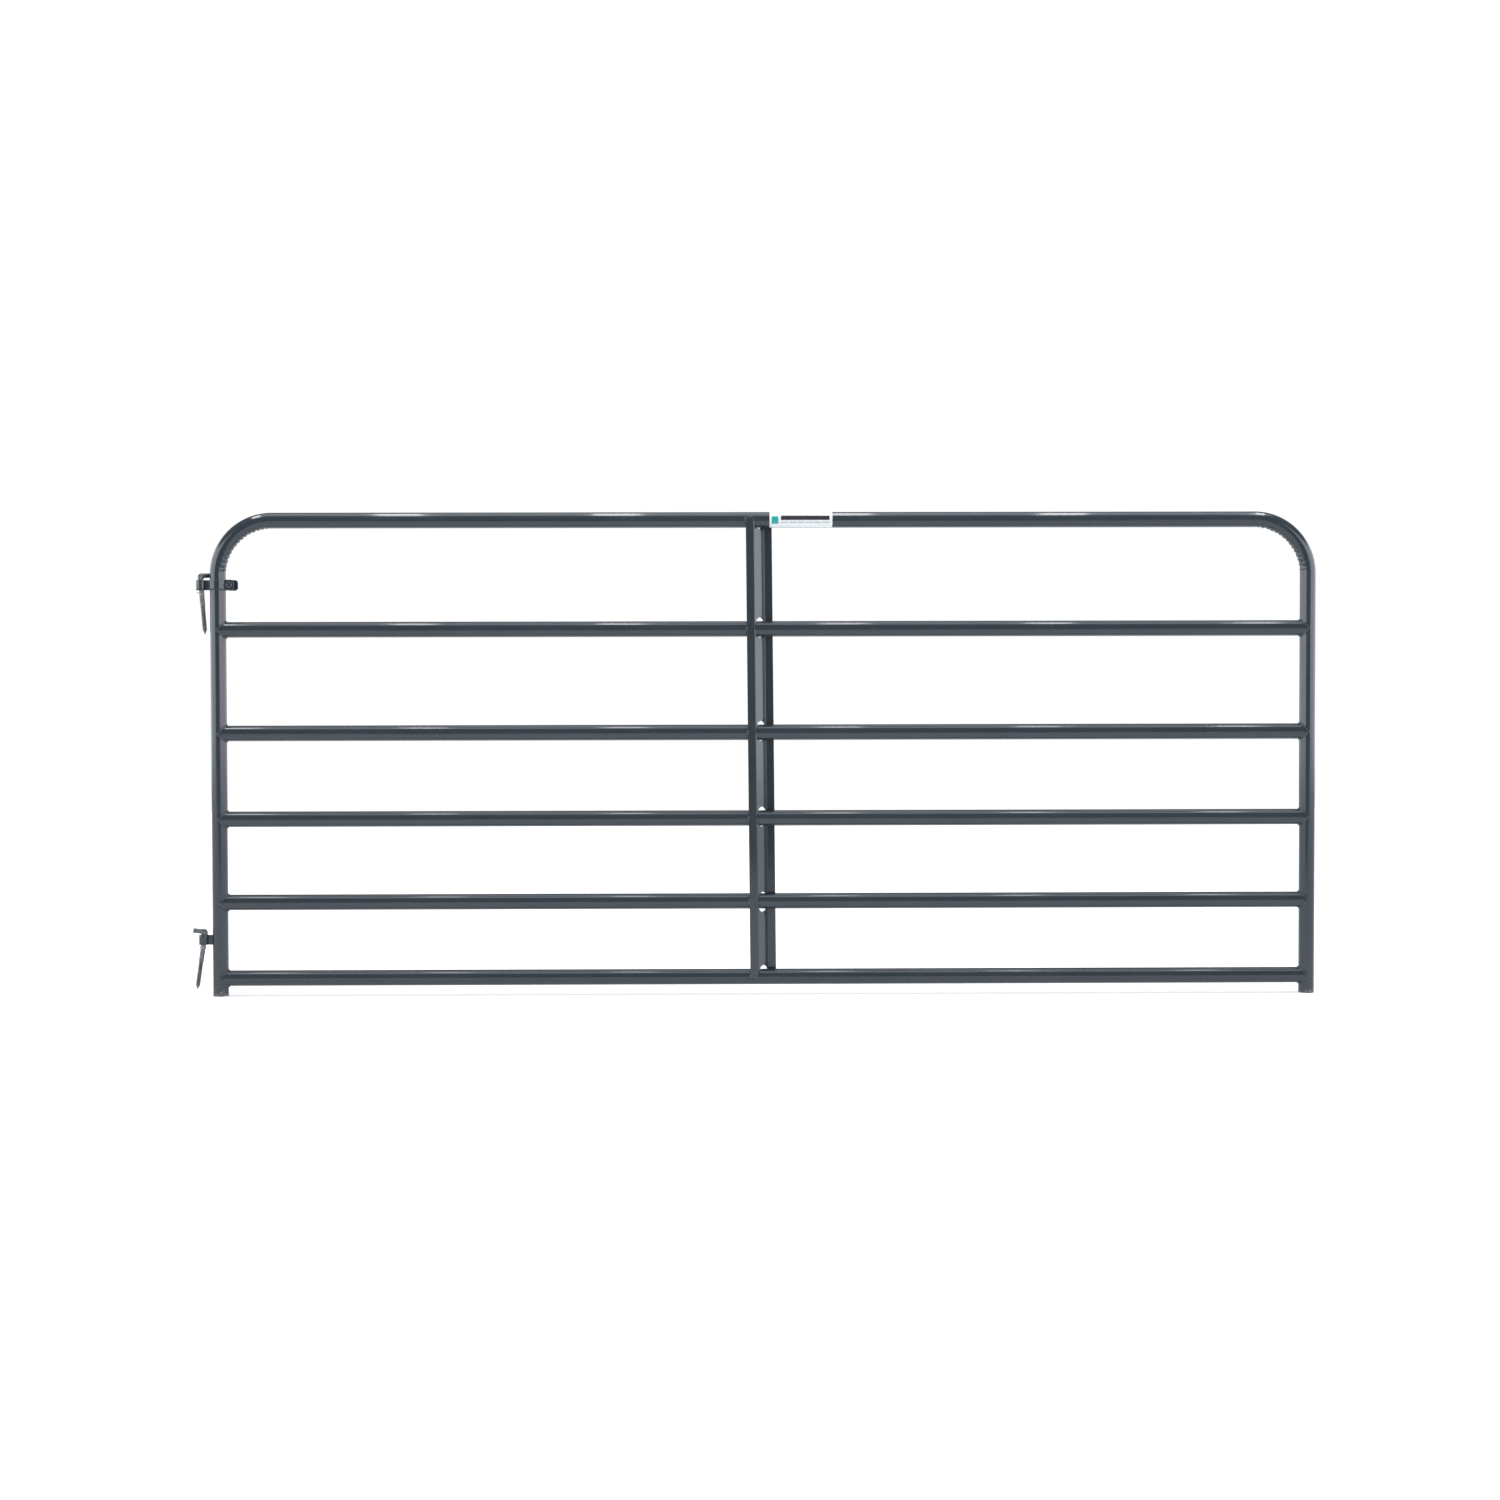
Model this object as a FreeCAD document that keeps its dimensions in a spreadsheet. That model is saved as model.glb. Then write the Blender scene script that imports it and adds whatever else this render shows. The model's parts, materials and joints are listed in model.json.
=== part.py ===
import FreeCAD, Part
import math
import os

import Sketcher
from FreeCAD import Placement, Rotation, Vector

# Livestock panel gate. Millimetres, +Z up, +X along the gate, the people side faces -Y.
# The origin is on the line through both hinge eyes, at the level of the post feet.

UP, ALONG, BACK = Vector(0, 0, 1), Vector(1, 0, 0), Vector(0, 1, 0)

# name: (value, what it is). Lengths in mm, angles in degrees.
DRIVING = {
    "tube_od": (41.275, "outside diameter of every tube, 1-5/8 in"),
    "tube_wall": (1.0, "tube wall"),
    "gate_height": (1270.0, "floor to the top of the top rail, 50 in"),
    "gate_width": (2908.0, "outside to outside of the posts"),
    "bend_radius": (142.5, "centre line radius of the two top corners"),
    "gap_top": (286.0, "top rail centre to rail 1 centre"),
    "gap_two": (272.0, "rail 1 centre to rail 2 centre"),
    "gap_three": (226.0, "rail 2 centre to rail 3 centre"),
    "gap_four": (219.0, "rail 3 centre to rail 4 centre"),
    "gap_five": (200.0, "rail 4 centre to rail 5 centre"),
    "cope_gap": (0.3, "root gap between a coped rail end and the post"),
    "brace_width": (68.7, "outer edge to outer edge of the two brace flanges"),
    "brace_web_run": (26.0, "how far the slanted web runs along the gate"),
    "brace_sheet": (1.9, "brace sheet thickness"),
    "brace_bend": (2.5, "inner radius of the brace bends"),
    "brace_offset": (-8.8, "brace centre from the middle of the gate"),
    "brace_lean": (0.47, "brace lean in the plane of the gate"),
    "brace_seat": (0.1, "gap between a flange and the rails"),
    "brace_end": (6.0, "brace top end above the top rail centre"),
    "web_hole_clear": (3.8777274, "web hole diameter beyond the slanted section of the tube through it"),
    "hole_lift": (3.9, "hole centre above the centre of the rail it takes"),
    "hole_drop": (2.2, "hole centre below the centre of rail 4"),
    "eye_stand_off": (23.0625, "hinge line to the face of the left post"),
    "eye_bore_d": (20.0, "hinge eye bore"),
    "strap_thick": (3.2, "hinge strap thickness"),
    "strap_slit": (0.4, "slit between the two pinched plies"),
    "upper_eye_height": (26.5, "width of the upper strap"),
    "upper_eye_level": (1080.5, "centre of the upper eye above the floor"),
    "lower_eye_height": (25.4, "width of the lower strap"),
    "lower_eye_level": (148.2, "centre of the lower eye above the floor"),
    "tab_gap": (23.0, "gap between the two clamp tabs"),
    "tab_front_out": (23.7625, "post face to the end of the front tab"),
    "tab_back_out": (29.7625, "post face to the end of the back tab"),
    "tab_height": (28.0, "height of a clamp tab"),
    "tab_corner": (8.0, "corner radius of a clamp tab"),
    "bolt_out": (10.8625, "post face to the clamp bolt"),
    "bolt_d": (7.94, "clamp bolt diameter, 5/16 in"),
    "bolt_head_d": (18.3, "carriage bolt head diameter"),
    "bolt_head_height": (4.6, "carriage bolt head height"),
    "bolt_tail": (14.5, "bolt beyond the back tab"),
    "washer_d": (17.5, "washer outside diameter"),
    "washer_thick": (1.6, "washer thickness"),
    "nut_flats": (12.7, "nut across flats"),
    "nut_height": (6.8, "nut height"),
    "fit_gap": (0.08, "radial clearance of the bolt in its nut"),
    "hook_d": (12.7, "hook rod diameter, 1/2 in"),
    "hook_pin_d": (12.5, "diameter of the hook's short pin leg"),
    "hook_length": (152.4, "pin leg centre line to screw tip, 6 in"),
    "hook_pin_reach": (31.0, "shank centre line to pin leg end"),
    "thread_length": (76.0, "lag thread and its point"),
    "thread_pitch": (5.3, "lag thread pitch"),
    "thread_depth": (1.6, "lag thread depth"),
    "upper_pin_level": (1104.5, "upper pin leg centre above the floor"),
    "lower_pin_level": (169.4, "lower pin leg centre above the floor"),
    "upper_hook_azimuth": (42.0, "direction of the upper pin leg from +X"),
    "lower_hook_azimuth": (195.0, "direction of the lower pin leg from +X"),
    "upper_hook_tilt": (4.9, "lean of the upper hook, its tip towards the pin leg's side"),
    "lower_hook_tilt": (7.9, "lean of the lower hook, its tip towards the pin leg's side"),
    "wire_d": (2.0, "tie wire diameter"),
    "wire_gap": (0.2, "gap between a tie wire and its shank"),
    "upper_wire_drop": (21.0, "upper tie wire below the eye centre"),
    "lower_wire_drop": (17.0, "lower tie wire top below the eye centre"),
    "bead_radius": (3.4, "weld bead radius"),
    "bead_meet": (2.157206, "half of the step between the two halves of a saddle bead at their ends"),
    "bead_gap": (0.15, "gap kept between a bead and the pieces it joins"),
    "label_length": (164.6, "label length"),
    "label_start": (14.5, "label's near edge from the middle of the gate"),
    "label_half_angle": (72.0, "half of the angle that the label wraps"),
    "label_gap": (0.15, "gap between label and tube"),
    "label_thick": (0.25, "label thickness"),
}

DERIVED = {
    "tube_r": "tube_od / 2",
    "tube_bore_r": "tube_od / 2 - tube_wall",
    "eye_offset": "tube_od / 2 + eye_stand_off",
    "tab_front_reach": "tube_od / 2 + tab_front_out",
    "tab_back_reach": "tube_od / 2 + tab_back_out",
    "bolt_reach": "tube_od / 2 + bolt_out",
    "post_left_x": "eye_offset",
    "post_right_x": "eye_offset + gate_width - tube_od",
    "gate_mid_x": "eye_offset + (gate_width - tube_od) / 2",
    "post_span": "gate_width - tube_od",
    "top_level": "gate_height - tube_od / 2",
    "rail_1_level": "top_level - gap_top",
    "rail_2_level": "rail_1_level - gap_two",
    "rail_3_level": "rail_2_level - gap_three",
    "rail_4_level": "rail_3_level - gap_four",
    "rail_5_level": "rail_4_level - gap_five",
    "cope_r": "tube_od / 2 + cope_gap",
    "brace_mid_x": "gate_mid_x + brace_offset",
    "brace_foot": "rail_5_level - 1",
    "brace_length": "top_level + brace_end - brace_foot",
    "flange_y": "tube_od / 2 + brace_seat + brace_sheet / 2",
    "web_slope_length": "sqrt(brace_web_run ^ 2 + 4 * flange_y ^ 2)",
    "web_hole_d": "tube_od * web_slope_length / (2 * flange_y) + web_hole_clear",
    "miter_shift": "brace_sheet / 2 * (web_slope_length - brace_web_run) / (2 * flange_y)",
    "brace_left": "brace_mid_x - brace_width / 2",
    "brace_right": "brace_mid_x + brace_width / 2",
    "front_bend_outer": "brace_mid_x - brace_web_run / 2 + miter_shift",
    "front_bend_inner": "brace_mid_x - brace_web_run / 2 - miter_shift",
    "back_bend_inner": "brace_mid_x + brace_web_run / 2 + miter_shift",
    "back_bend_outer": "brace_mid_x + brace_web_run / 2 - miter_shift",
    "flange_out": "flange_y + brace_sheet / 2",
    "flange_in": "flange_y - brace_sheet / 2",
    "eye_r": "eye_bore_d / 2",
    "eye_out_r": "eye_bore_d / 2 + strap_thick",
    "band_r": "tube_od / 2 + cope_gap",
    "band_out_r": "tube_od / 2 + cope_gap + strap_thick",
    "neck_half": "strap_thick + strap_slit / 2",
    "tab_out": "tab_gap / 2 + strap_thick",
    "bolt_x": "post_left_x + bolt_reach",
    "hook_r": "hook_d / 2",
}


def make_sizes(doc):
    """The spreadsheet that drives every sub-part."""
    sheet = doc.addObject("Spreadsheet::Sheet", "Sizes")
    row = 0
    for name, (value, words) in DRIVING.items():
        row += 1
        sheet.set(f"A{row}", name)
        sheet.set(f"B{row}", str(value))
        sheet.set(f"C{row}", words)
        sheet.setAlias(f"B{row}", name)
    for name, formula in DERIVED.items():
        row += 1
        sheet.set(f"A{row}", name)
        sheet.set(f"B{row}", "=" + formula)
        sheet.setAlias(f"B{row}", name)
    doc.recompute()
    return sheet


class Kit:
    """Makes shapes whose sizes are bound to the spreadsheet."""

    def __init__(self, doc, sheet):
        self.doc, self.sheet = doc, sheet

    def value(self, term):
        """The present value of a term: a number, an alias or an alias with a minus sign."""
        if not isinstance(term, str):
            return float(term)
        sign = -1 if term.startswith("-") else 1
        return sign * float(getattr(self.sheet, term.lstrip("-")))

    def bind(self, thing, prop, term):
        if isinstance(term, str):
            sign = "-" if term.startswith("-") else ""
            thing.setExpression(prop, f"{sign}Sizes.{term.lstrip('-')}")

    def place(self, thing, at, rotation=Rotation()):
        thing.Placement = Placement(Vector(*(self.value(term) for term in at)), rotation)
        for axis, term in zip("xyz", at):
            self.bind(thing, f"Placement.Base.{axis}", term)

    def cylinder(self, name, radius, length, at, direction=UP):
        """A cylinder that starts at a point and runs along a direction."""
        body = self.doc.addObject("Part::Cylinder", name)
        body.Radius, body.Height = self.value(radius), self.value(length)
        self.bind(body, "Radius", radius)
        self.bind(body, "Height", length)
        self.place(body, at, Rotation(UP, direction))
        return body

    def block(self, name, size, at):
        body = self.doc.addObject("Part::Box", name)
        for prop, term in zip(("Length", "Width", "Height"), size):
            setattr(body, prop, self.value(term))
            self.bind(body, prop, term)
        self.place(body, at)
        return body

    def fuse(self, name, shapes):
        body = self.doc.addObject("Part::MultiFuse", name)
        body.Shapes = shapes
        body.Refine = True
        return body

    def cut(self, name, base, tools):
        """base less tools, as one named solid."""
        tool = tools[0] if len(tools) == 1 else self.fuse(name + "_tools", tools)
        body = self.doc.addObject("Part::Cut", name)
        body.Base, body.Tool = base, tool
        body.Refine = True
        return body

    def solid(self, name, shape):
        """A swept or revolved shape that no primitive gives."""
        body = self.doc.addObject("Part::Feature", name)
        body.Shape = shape
        return body

    def sketch(self, body, name, plane, lift=0):
        sketch = body.newObject("Sketcher::SketchObject", name)
        origin = next(o for o in body.Origin.OriginFeatures if o.Role == plane)
        sketch.AttachmentSupport = [(origin, "")]
        sketch.MapMode = "FlatFace"
        if lift:
            sketch.AttachmentOffset = Placement(Vector(0, 0, self.value(lift)), Rotation())
            self.bind(sketch, "AttachmentOffset.Base.z", lift)
        return sketch

    def fix_point(self, sketch, geometry, point, at):
        """Holds a sketch point at a place given by two terms."""
        for kind, term in zip(("DistanceX", "DistanceY"), at):
            value = self.value(term)
            if value:
                index = sketch.addConstraint(Sketcher.Constraint(kind, -1, 1, geometry, point, value))
                if isinstance(term, str):
                    sketch.renameConstraint(index, f"{kind}_{geometry}_{point}")
                    self.bind(sketch, f"Constraints.{kind}_{geometry}_{point}", term)
            else:
                axis = -2 if kind == "DistanceX" else -1
                sketch.addConstraint(Sketcher.Constraint("PointOnObject", geometry, point, axis))

    def outline(self, sketch, corners):
        """A closed polygon through corners."""
        places = [Vector(self.value(x), self.value(y), 0) for x, y in corners]
        count = len(places)
        for i in range(count):
            sketch.addGeometry(Part.LineSegment(places[i], places[(i + 1) % count]), False)
        for i in range(count):
            sketch.addConstraint(Sketcher.Constraint("Coincident", i, 2, (i + 1) % count, 1))
            self.fix_point(sketch, i, 1, corners[i])

    def ring(self, sketch, centre, radii):
        for radius in radii:
            x, y = (self.value(term) for term in centre)
            index = sketch.addGeometry(Part.Circle(Vector(x, y, 0), UP, self.value(radius)), False)
            self.fix_point(sketch, index, 3, centre)
            held = sketch.addConstraint(Sketcher.Constraint("Radius", index, self.value(radius)))
            sketch.renameConstraint(held, f"radius_{index}")
            self.bind(sketch, f"Constraints.radius_{index}", radius)


def perimeter_tube(kit):
    """Left post, top rail and right post: one round tube bent twice, open at both feet."""
    body = kit.doc.addObject("PartDesign::Body", "perimeter_tube")
    path = kit.sketch(body, "tube_path", "XZ_Plane")
    left, right, top = (kit.value(n) for n in ("post_left_x", "post_right_x", "top_level"))
    r = kit.value("bend_radius")
    quarter = math.pi / 2
    arc = lambda x, start: Part.ArcOfCircle(
        Part.Circle(Vector(x, top - r, 0), UP, r), start, start + quarter)
    path.addGeometry(Part.LineSegment(Vector(left, 0, 0), Vector(left, top - r, 0)), False)
    path.addGeometry(arc(left + r, quarter), False)
    path.addGeometry(Part.LineSegment(Vector(left + r, top, 0), Vector(right - r, top, 0)), False)
    path.addGeometry(arc(right - r, 0), False)
    path.addGeometry(Part.LineSegment(Vector(right, top - r, 0), Vector(right, 0, 0)), False)
    for first, end, second, start in ((0, 2, 1, 2), (1, 1, 2, 1), (2, 2, 3, 2), (3, 1, 4, 1)):
        path.addConstraint(Sketcher.Constraint("Tangent", first, end, second, start))
    path.addConstraint(Sketcher.Constraint("Vertical", 0))
    path.addConstraint(Sketcher.Constraint("Horizontal", 2))
    path.addConstraint(Sketcher.Constraint("Vertical", 4))
    kit.fix_point(path, 0, 1, ("post_left_x", 0))
    kit.fix_point(path, 4, 2, ("post_right_x", 0))
    for index in (1, 3):
        held = path.addConstraint(Sketcher.Constraint("Radius", index, r))
        path.renameConstraint(held, f"bend_{index}")
        kit.bind(path, f"Constraints.bend_{index}", "bend_radius")
    held = path.addConstraint(Sketcher.Constraint("DistanceY", -1, 1, 2, 1, top))
    path.renameConstraint(held, "top")
    kit.bind(path, "Constraints.top", "top_level")
    section = kit.sketch(body, "tube_section", "XY_Plane")
    kit.ring(section, ("post_left_x", 0), ("tube_r", "tube_bore_r"))
    kit.doc.recompute()
    pipe = body.newObject("PartDesign::AdditivePipe", "tube_sweep")
    pipe.Profile = section
    pipe.Spine = (path, [f"Edge{i + 1}" for i in range(5)])
    kit.doc.recompute()
    return body


def rails(kit):
    """Five straight tubes, their ends coped to the posts."""
    length = "post_span"
    reach = "gate_height"
    posts = [kit.cylinder(f"cope_{side}", "cope_r", reach, (x, 0, 0))
             for side, x in (("left", "post_left_x"), ("right", "post_right_x"))]
    cope = kit.fuse("cope_tools", posts)
    made = []
    for number in range(1, 6):
        start = ("post_left_x", 0, f"rail_{number}_level")
        outer = kit.cylinder(f"rail_{number}_outside", "tube_r", length, start, ALONG)
        bore = kit.cylinder(f"rail_{number}_bore", "tube_bore_r", length, start, ALONG)
        blank = kit.cut(f"rail_{number}_blank", outer, [bore])
        rail = kit.doc.addObject("Part::Cut", f"rail_{number}")
        rail.Base, rail.Tool = blank, cope
        made.append(rail)
    return made


def z_brace(kit):
    """One roll-formed strip: a flange before the rails, a punched slanted web, a flange behind."""
    body = kit.doc.addObject("PartDesign::Body", "z_brace")
    section = kit.sketch(body, "brace_section", "XY_Plane", "brace_foot")
    kit.outline(section, [
        ("brace_left", "-flange_out"), ("front_bend_outer", "-flange_out"),
        ("back_bend_inner", "flange_in"), ("brace_right", "flange_in"),
        ("brace_right", "flange_out"), ("back_bend_outer", "flange_out"),
        ("front_bend_inner", "-flange_in"), ("brace_left", "-flange_in")])
    kit.doc.recompute()
    pad = body.newObject("PartDesign::Pad", "brace_strip")
    pad.Profile = section
    pad.Length = kit.value("brace_length")
    kit.bind(pad, "Length", "brace_length")
    kit.doc.recompute()

    inner = kit.value("brace_bend")
    outer = inner + kit.value("brace_sheet")
    bends = (("front_bend_outer", "-flange_out", outer), ("front_bend_inner", "-flange_in", inner),
             ("back_bend_outer", "flange_out", outer), ("back_bend_inner", "flange_in", inner))
    last = pad
    for number, (x, y, radius) in enumerate(bends):
        spot = Vector(kit.value(x), kit.value(y), 0)
        edge = next(i for i, e in enumerate(last.Shape.Edges, 1)
                    if all(math.hypot(v.X - spot.x, v.Y - spot.y) < 1e-3 for v in e.Vertexes))
        bend = body.newObject("PartDesign::Fillet", f"brace_bend_{number}")
        bend.Base = (last, [f"Edge{edge}"])
        bend.Radius = radius
        kit.doc.recompute()
        last = bend

    run, rise = kit.value("brace_web_run"), 2 * kit.value("flange_y")
    normal = Vector(rise, -run, 0).normalize()
    depth = kit.value("brace_sheet") + 1.4
    lift, drop = kit.value("hole_lift"), -kit.value("hole_drop")
    levels = [("top_level", lift)] + [
        (f"rail_{n}_level", drop if n == 4 else lift) for n in range(1, 6)]
    for level, shift in levels:
        centre = Vector(kit.value("brace_mid_x"), 0, kit.value(level) + shift)
        punch = body.newObject("PartDesign::SubtractiveCylinder", "punch_" + level)
        punch.Radius = kit.value("web_hole_d") / 2
        punch.setExpression("Radius", "Sizes.web_hole_d / 2")
        punch.Height = depth
        punch.Placement = Placement(centre - normal * (depth / 2), Rotation(UP, normal))
        kit.doc.recompute()
    pivot = Vector(kit.value("brace_mid_x"), 0, kit.value("gate_height") / 2)
    lean = Rotation(BACK, -kit.value("brace_lean"))
    body.Placement = Placement(pivot - lean.multVec(pivot), lean)
    return body


def eye_tools(kit, name, level, height):
    """The bore and the slit of a pinched eye."""
    low = kit.value(level) - kit.value(height) / 2 - 1
    tall = kit.value(height) + 2
    bore = kit.cylinder(name + "_bore", "eye_r", tall, (0, 0, low))
    slit = kit.block(name + "_slit", ("eye_offset", "strap_slit", tall), (0, 0, low))
    slit.setExpression("Placement.Base.y", "-Sizes.strap_slit / 2")
    return [bore, slit]


def eye_solids(kit, name, level, height):
    """The rolled eye and the pinched neck that runs to the post."""
    low = kit.value(level) - kit.value(height) / 2
    eye = kit.cylinder(name + "_roll", "eye_out_r", height, (0, 0, low))
    eye.setExpression("Placement.Base.z", f"Sizes.{level} - Sizes.{height} / 2")
    neck = kit.block(name + "_neck", ("eye_offset", 1, height), (0, 0, low))
    neck.setExpression("Width", "2 * Sizes.neck_half")
    neck.setExpression("Placement.Base.y", "-Sizes.neck_half")
    neck.setExpression("Placement.Base.z", f"Sizes.{level} - Sizes.{height} / 2")
    return [eye, neck]


def upper_hinge_strap(kit):
    """One strap: rolled eye, pinched neck, a band round the post and two bolted tabs."""
    level, height = kit.value("upper_eye_level"), kit.value("upper_eye_height")
    post = kit.value("post_left_x")
    band = kit.cylinder("strap_band", "band_out_r", "upper_eye_height", ("post_left_x", 0, 0))
    band.setExpression("Placement.Base.z", "Sizes.upper_eye_level - Sizes.upper_eye_height / 2")
    tabs = []
    for side, reach, y in (("front", "tab_front_reach", "-tab_out"), ("back", "tab_back_reach", None)):
        tab = kit.block(f"strap_tab_{side}", (reach, "strap_thick", "tab_height"), ("post_left_x", 0, 0))
        tab.setExpression("Placement.Base.z", "Sizes.upper_eye_level - Sizes.tab_height / 2")
        tab.setExpression("Placement.Base.y", "-Sizes.tab_out" if y else "Sizes.tab_gap / 2")
        tabs.append(tab)
    blank = kit.fuse("strap_blank", eye_solids(kit, "upper_eye", "upper_eye_level",
                                               "upper_eye_height") + [band] + tabs)
    low = level - kit.value("tab_height") / 2 - 1
    tall = kit.value("tab_height") + 2
    bore = kit.cylinder("strap_post_bore", "band_r", tall, ("post_left_x", 0, low))
    mouth = kit.block("strap_mouth", ("tab_back_reach", "tab_gap", tall), ("post_left_x", 0, low))
    mouth.setExpression("Placement.Base.y", "-Sizes.tab_gap / 2")
    square = kit.value("bolt_d") + 0.5
    neck_hole = kit.block("strap_square_hole", (square, "tab_out", square), (0, 0, 0))
    neck_hole.setExpression("Placement.Base.x", f"Sizes.bolt_x - {square / 2}")
    neck_hole.setExpression("Placement.Base.y", "-Sizes.tab_out - 1")
    neck_hole.setExpression("Placement.Base.z", f"Sizes.upper_eye_level - {square / 2}")
    hole = kit.cylinder("strap_round_hole", kit.value("bolt_d") / 2 + 0.4, "band_out_r",
                        ("bolt_x", 0, "upper_eye_level"), BACK)
    tools = eye_tools(kit, "upper_eye", "upper_eye_level", "tab_height")
    raw = kit.cut("strap_raw", blank, tools + [bore, mouth, neck_hole, hole])
    kit.doc.recompute()
    ends = {post + kit.value("tab_front_reach"), post + kit.value("tab_back_reach")}
    corners = [i for i, e in enumerate(raw.Shape.Edges, 1)
               if len(e.Vertexes) == 2 and any(abs(e.CenterOfMass.x - x) < 1e-3 for x in ends)
               and abs(e.tangentAt(e.FirstParameter).y) > 0.99]
    strap = kit.doc.addObject("Part::Fillet", "upper_hinge_strap")
    strap.Base = raw
    radius = kit.value("tab_corner")
    strap.Edges = [(i, radius, radius) for i in corners]
    return strap


def clamp_bolt(kit):
    """Carriage bolt: domed head, square neck, round shank through both tabs."""
    r, head_r = kit.value("bolt_d") / 2, kit.value("bolt_head_d") / 2
    height, out = kit.value("bolt_head_height"), kit.value("tab_out")
    ball = (head_r ** 2 + height ** 2) / (2 * height)
    dome = kit.doc.addObject("Part::Sphere", "bolt_dome_ball")
    dome.Radius = ball
    kit.place(dome, ("bolt_x", -out - height + ball, "upper_eye_level"))
    keep = kit.cylinder("bolt_dome_keep", head_r, height, ("bolt_x", -out - height, "upper_eye_level"), BACK)
    head = kit.doc.addObject("Part::MultiCommon", "bolt_head")
    head.Shapes = [dome, keep]
    neck = kit.block("bolt_neck", ("bolt_d", "strap_thick", "bolt_d"), (0, "-tab_out", 0))
    neck.setExpression("Placement.Base.x", "Sizes.bolt_x - Sizes.bolt_d / 2")
    neck.setExpression("Placement.Base.z", "Sizes.upper_eye_level - Sizes.bolt_d / 2")
    shank = kit.cylinder("bolt_shank", r, 1, ("bolt_x", "-tab_out", "upper_eye_level"), BACK)
    shank.setExpression("Height", "2 * Sizes.tab_out + Sizes.bolt_tail")
    return kit.fuse("clamp_bolt", [head, neck, shank])


def clamp_washer(kit):
    at = ("bolt_x", "tab_out", "upper_eye_level")
    disc = kit.cylinder("washer_disc", kit.value("washer_d") / 2, "washer_thick", at, BACK)
    hole = kit.cylinder("washer_hole", kit.value("bolt_d") / 2 + 0.4, "washer_thick", at, BACK)
    return kit.cut("clamp_washer", disc, [hole])


def clamp_nut(kit):
    """Hex nut, its corners eased, on the bolt with a running clearance."""
    flats, height = kit.value("nut_flats"), kit.value("nut_height")
    start = kit.value("tab_out") + kit.value("washer_thick")
    hexagon = kit.doc.addObject("Part::Prism", "nut_hexagon")
    hexagon.Polygon = 6
    hexagon.Circumradius = flats / math.sqrt(3)
    hexagon.Height = height
    kit.place(hexagon, ("bolt_x", start, "upper_eye_level"), Rotation(UP, BACK))
    cone = kit.doc.addObject("Part::Cone", "nut_cone")
    cone.Radius1, cone.Radius2, cone.Height = flats / 2 + 1.6 * (height + 0.3), flats / 2, height + 0.3
    kit.place(cone, ("bolt_x", start, "upper_eye_level"), Rotation(UP, BACK))
    eased = kit.doc.addObject("Part::MultiCommon", "nut_eased")
    eased.Shapes = [hexagon, cone]
    bore = kit.cylinder("nut_bore", kit.value("bolt_d") / 2 + kit.value("fit_gap"), height,
                        ("bolt_x", start, "upper_eye_level"), BACK)
    return kit.cut("clamp_nut", eased, [bore])


def lower_hinge_eye(kit):
    """A short strap rolled into an eye, its pinched tail coped to the post."""
    blank = kit.fuse("lower_eye_blank", eye_solids(kit, "lower_eye", "lower_eye_level",
                                                   "lower_eye_height"))
    cope = kit.cylinder("lower_eye_cope", "cope_r", "gate_height", ("post_left_x", 0, 0))
    return kit.cut("lower_hinge_eye", blank, eye_tools(kit, "lower_eye", "lower_eye_level",
                                                       "lower_eye_height") + [cope])


def hook_pose(kit, side):
    """Where a hook hangs: its pin leg's corner, turned and leaning in its eye."""
    azimuth, tilt = kit.value(f"{side}_hook_azimuth"), kit.value(f"{side}_hook_tilt")
    turn = Rotation(UP, azimuth) * Rotation(BACK, -tilt)
    rise = kit.value(f"{side}_pin_level") - kit.value(f"{side}_eye_level")
    middle = Vector(0, 0, kit.value(f"{side}_eye_level"))
    corner = middle + turn.multVec(Vector(0, 0, rise / math.cos(math.radians(tilt))))
    return Placement(corner, turn)


def hook_shape(kit):
    """An L of round rod: pin leg along +X, shank down -Z to a lag thread with a blunt point."""
    r, pin_r = kit.value("hook_d") / 2, kit.value("hook_pin_d") / 2
    length, thread = kit.value("hook_length"), kit.value("thread_length")
    pitch, core = kit.value("thread_pitch"), r - kit.value("thread_depth")
    reach, ease = kit.value("hook_pin_reach"), 1.2
    turns = int((thread - 1.6 * pitch) / pitch)
    z = -(length - thread)
    profile = [(0, 0), (r, 0), (r, z)]
    for _ in range(turns):
        profile += [(core, z - 0.25 * pitch), (core, z - 0.62 * pitch), (r - 0.02, z - 0.9 * pitch),
                    (r - 0.02, z - pitch)]
        z -= pitch
    profile += [(core, z - 0.3 * pitch), (core * 0.45, -length), (0, -length)]
    points = [Vector(x, 0, y) for x, y in profile]
    shank = Part.Face(Part.makePolygon(points + points[:1])).revolve(Vector(), UP, 360)
    corner = Part.makeSphere(r, Vector())
    pin_points = [Vector(0, 0, 0), Vector(0, 0, pin_r), Vector(reach - ease, 0, pin_r),
                  Vector(reach, 0, pin_r - ease), Vector(reach, 0, 0)]
    pin = Part.Face(Part.makePolygon(pin_points + pin_points[:1])).revolve(Vector(), ALONG, 360)
    return shank.fuse(corner).fuse(pin).removeSplitter()


def hooks(kit):
    made = []
    for side in ("upper", "lower"):
        hook = kit.solid(f"{side}_screw_hook", hook_shape(kit))
        hook.Placement = hook_pose(kit, side)
        made.append(hook)
    return made


def swept_rod(points, radius):
    """A round rod along a smooth curve."""
    curve = Part.BSplineCurve()
    curve.interpolate(points)
    spine = Part.Wire([curve.toShape()])
    start = curve.value(curve.FirstParameter)
    way = curve.tangent(curve.FirstParameter)[0]
    section = Part.Wire([Part.makeCircle(radius, start, way)])
    return spine.makePipeShell([section], True, True)


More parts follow.
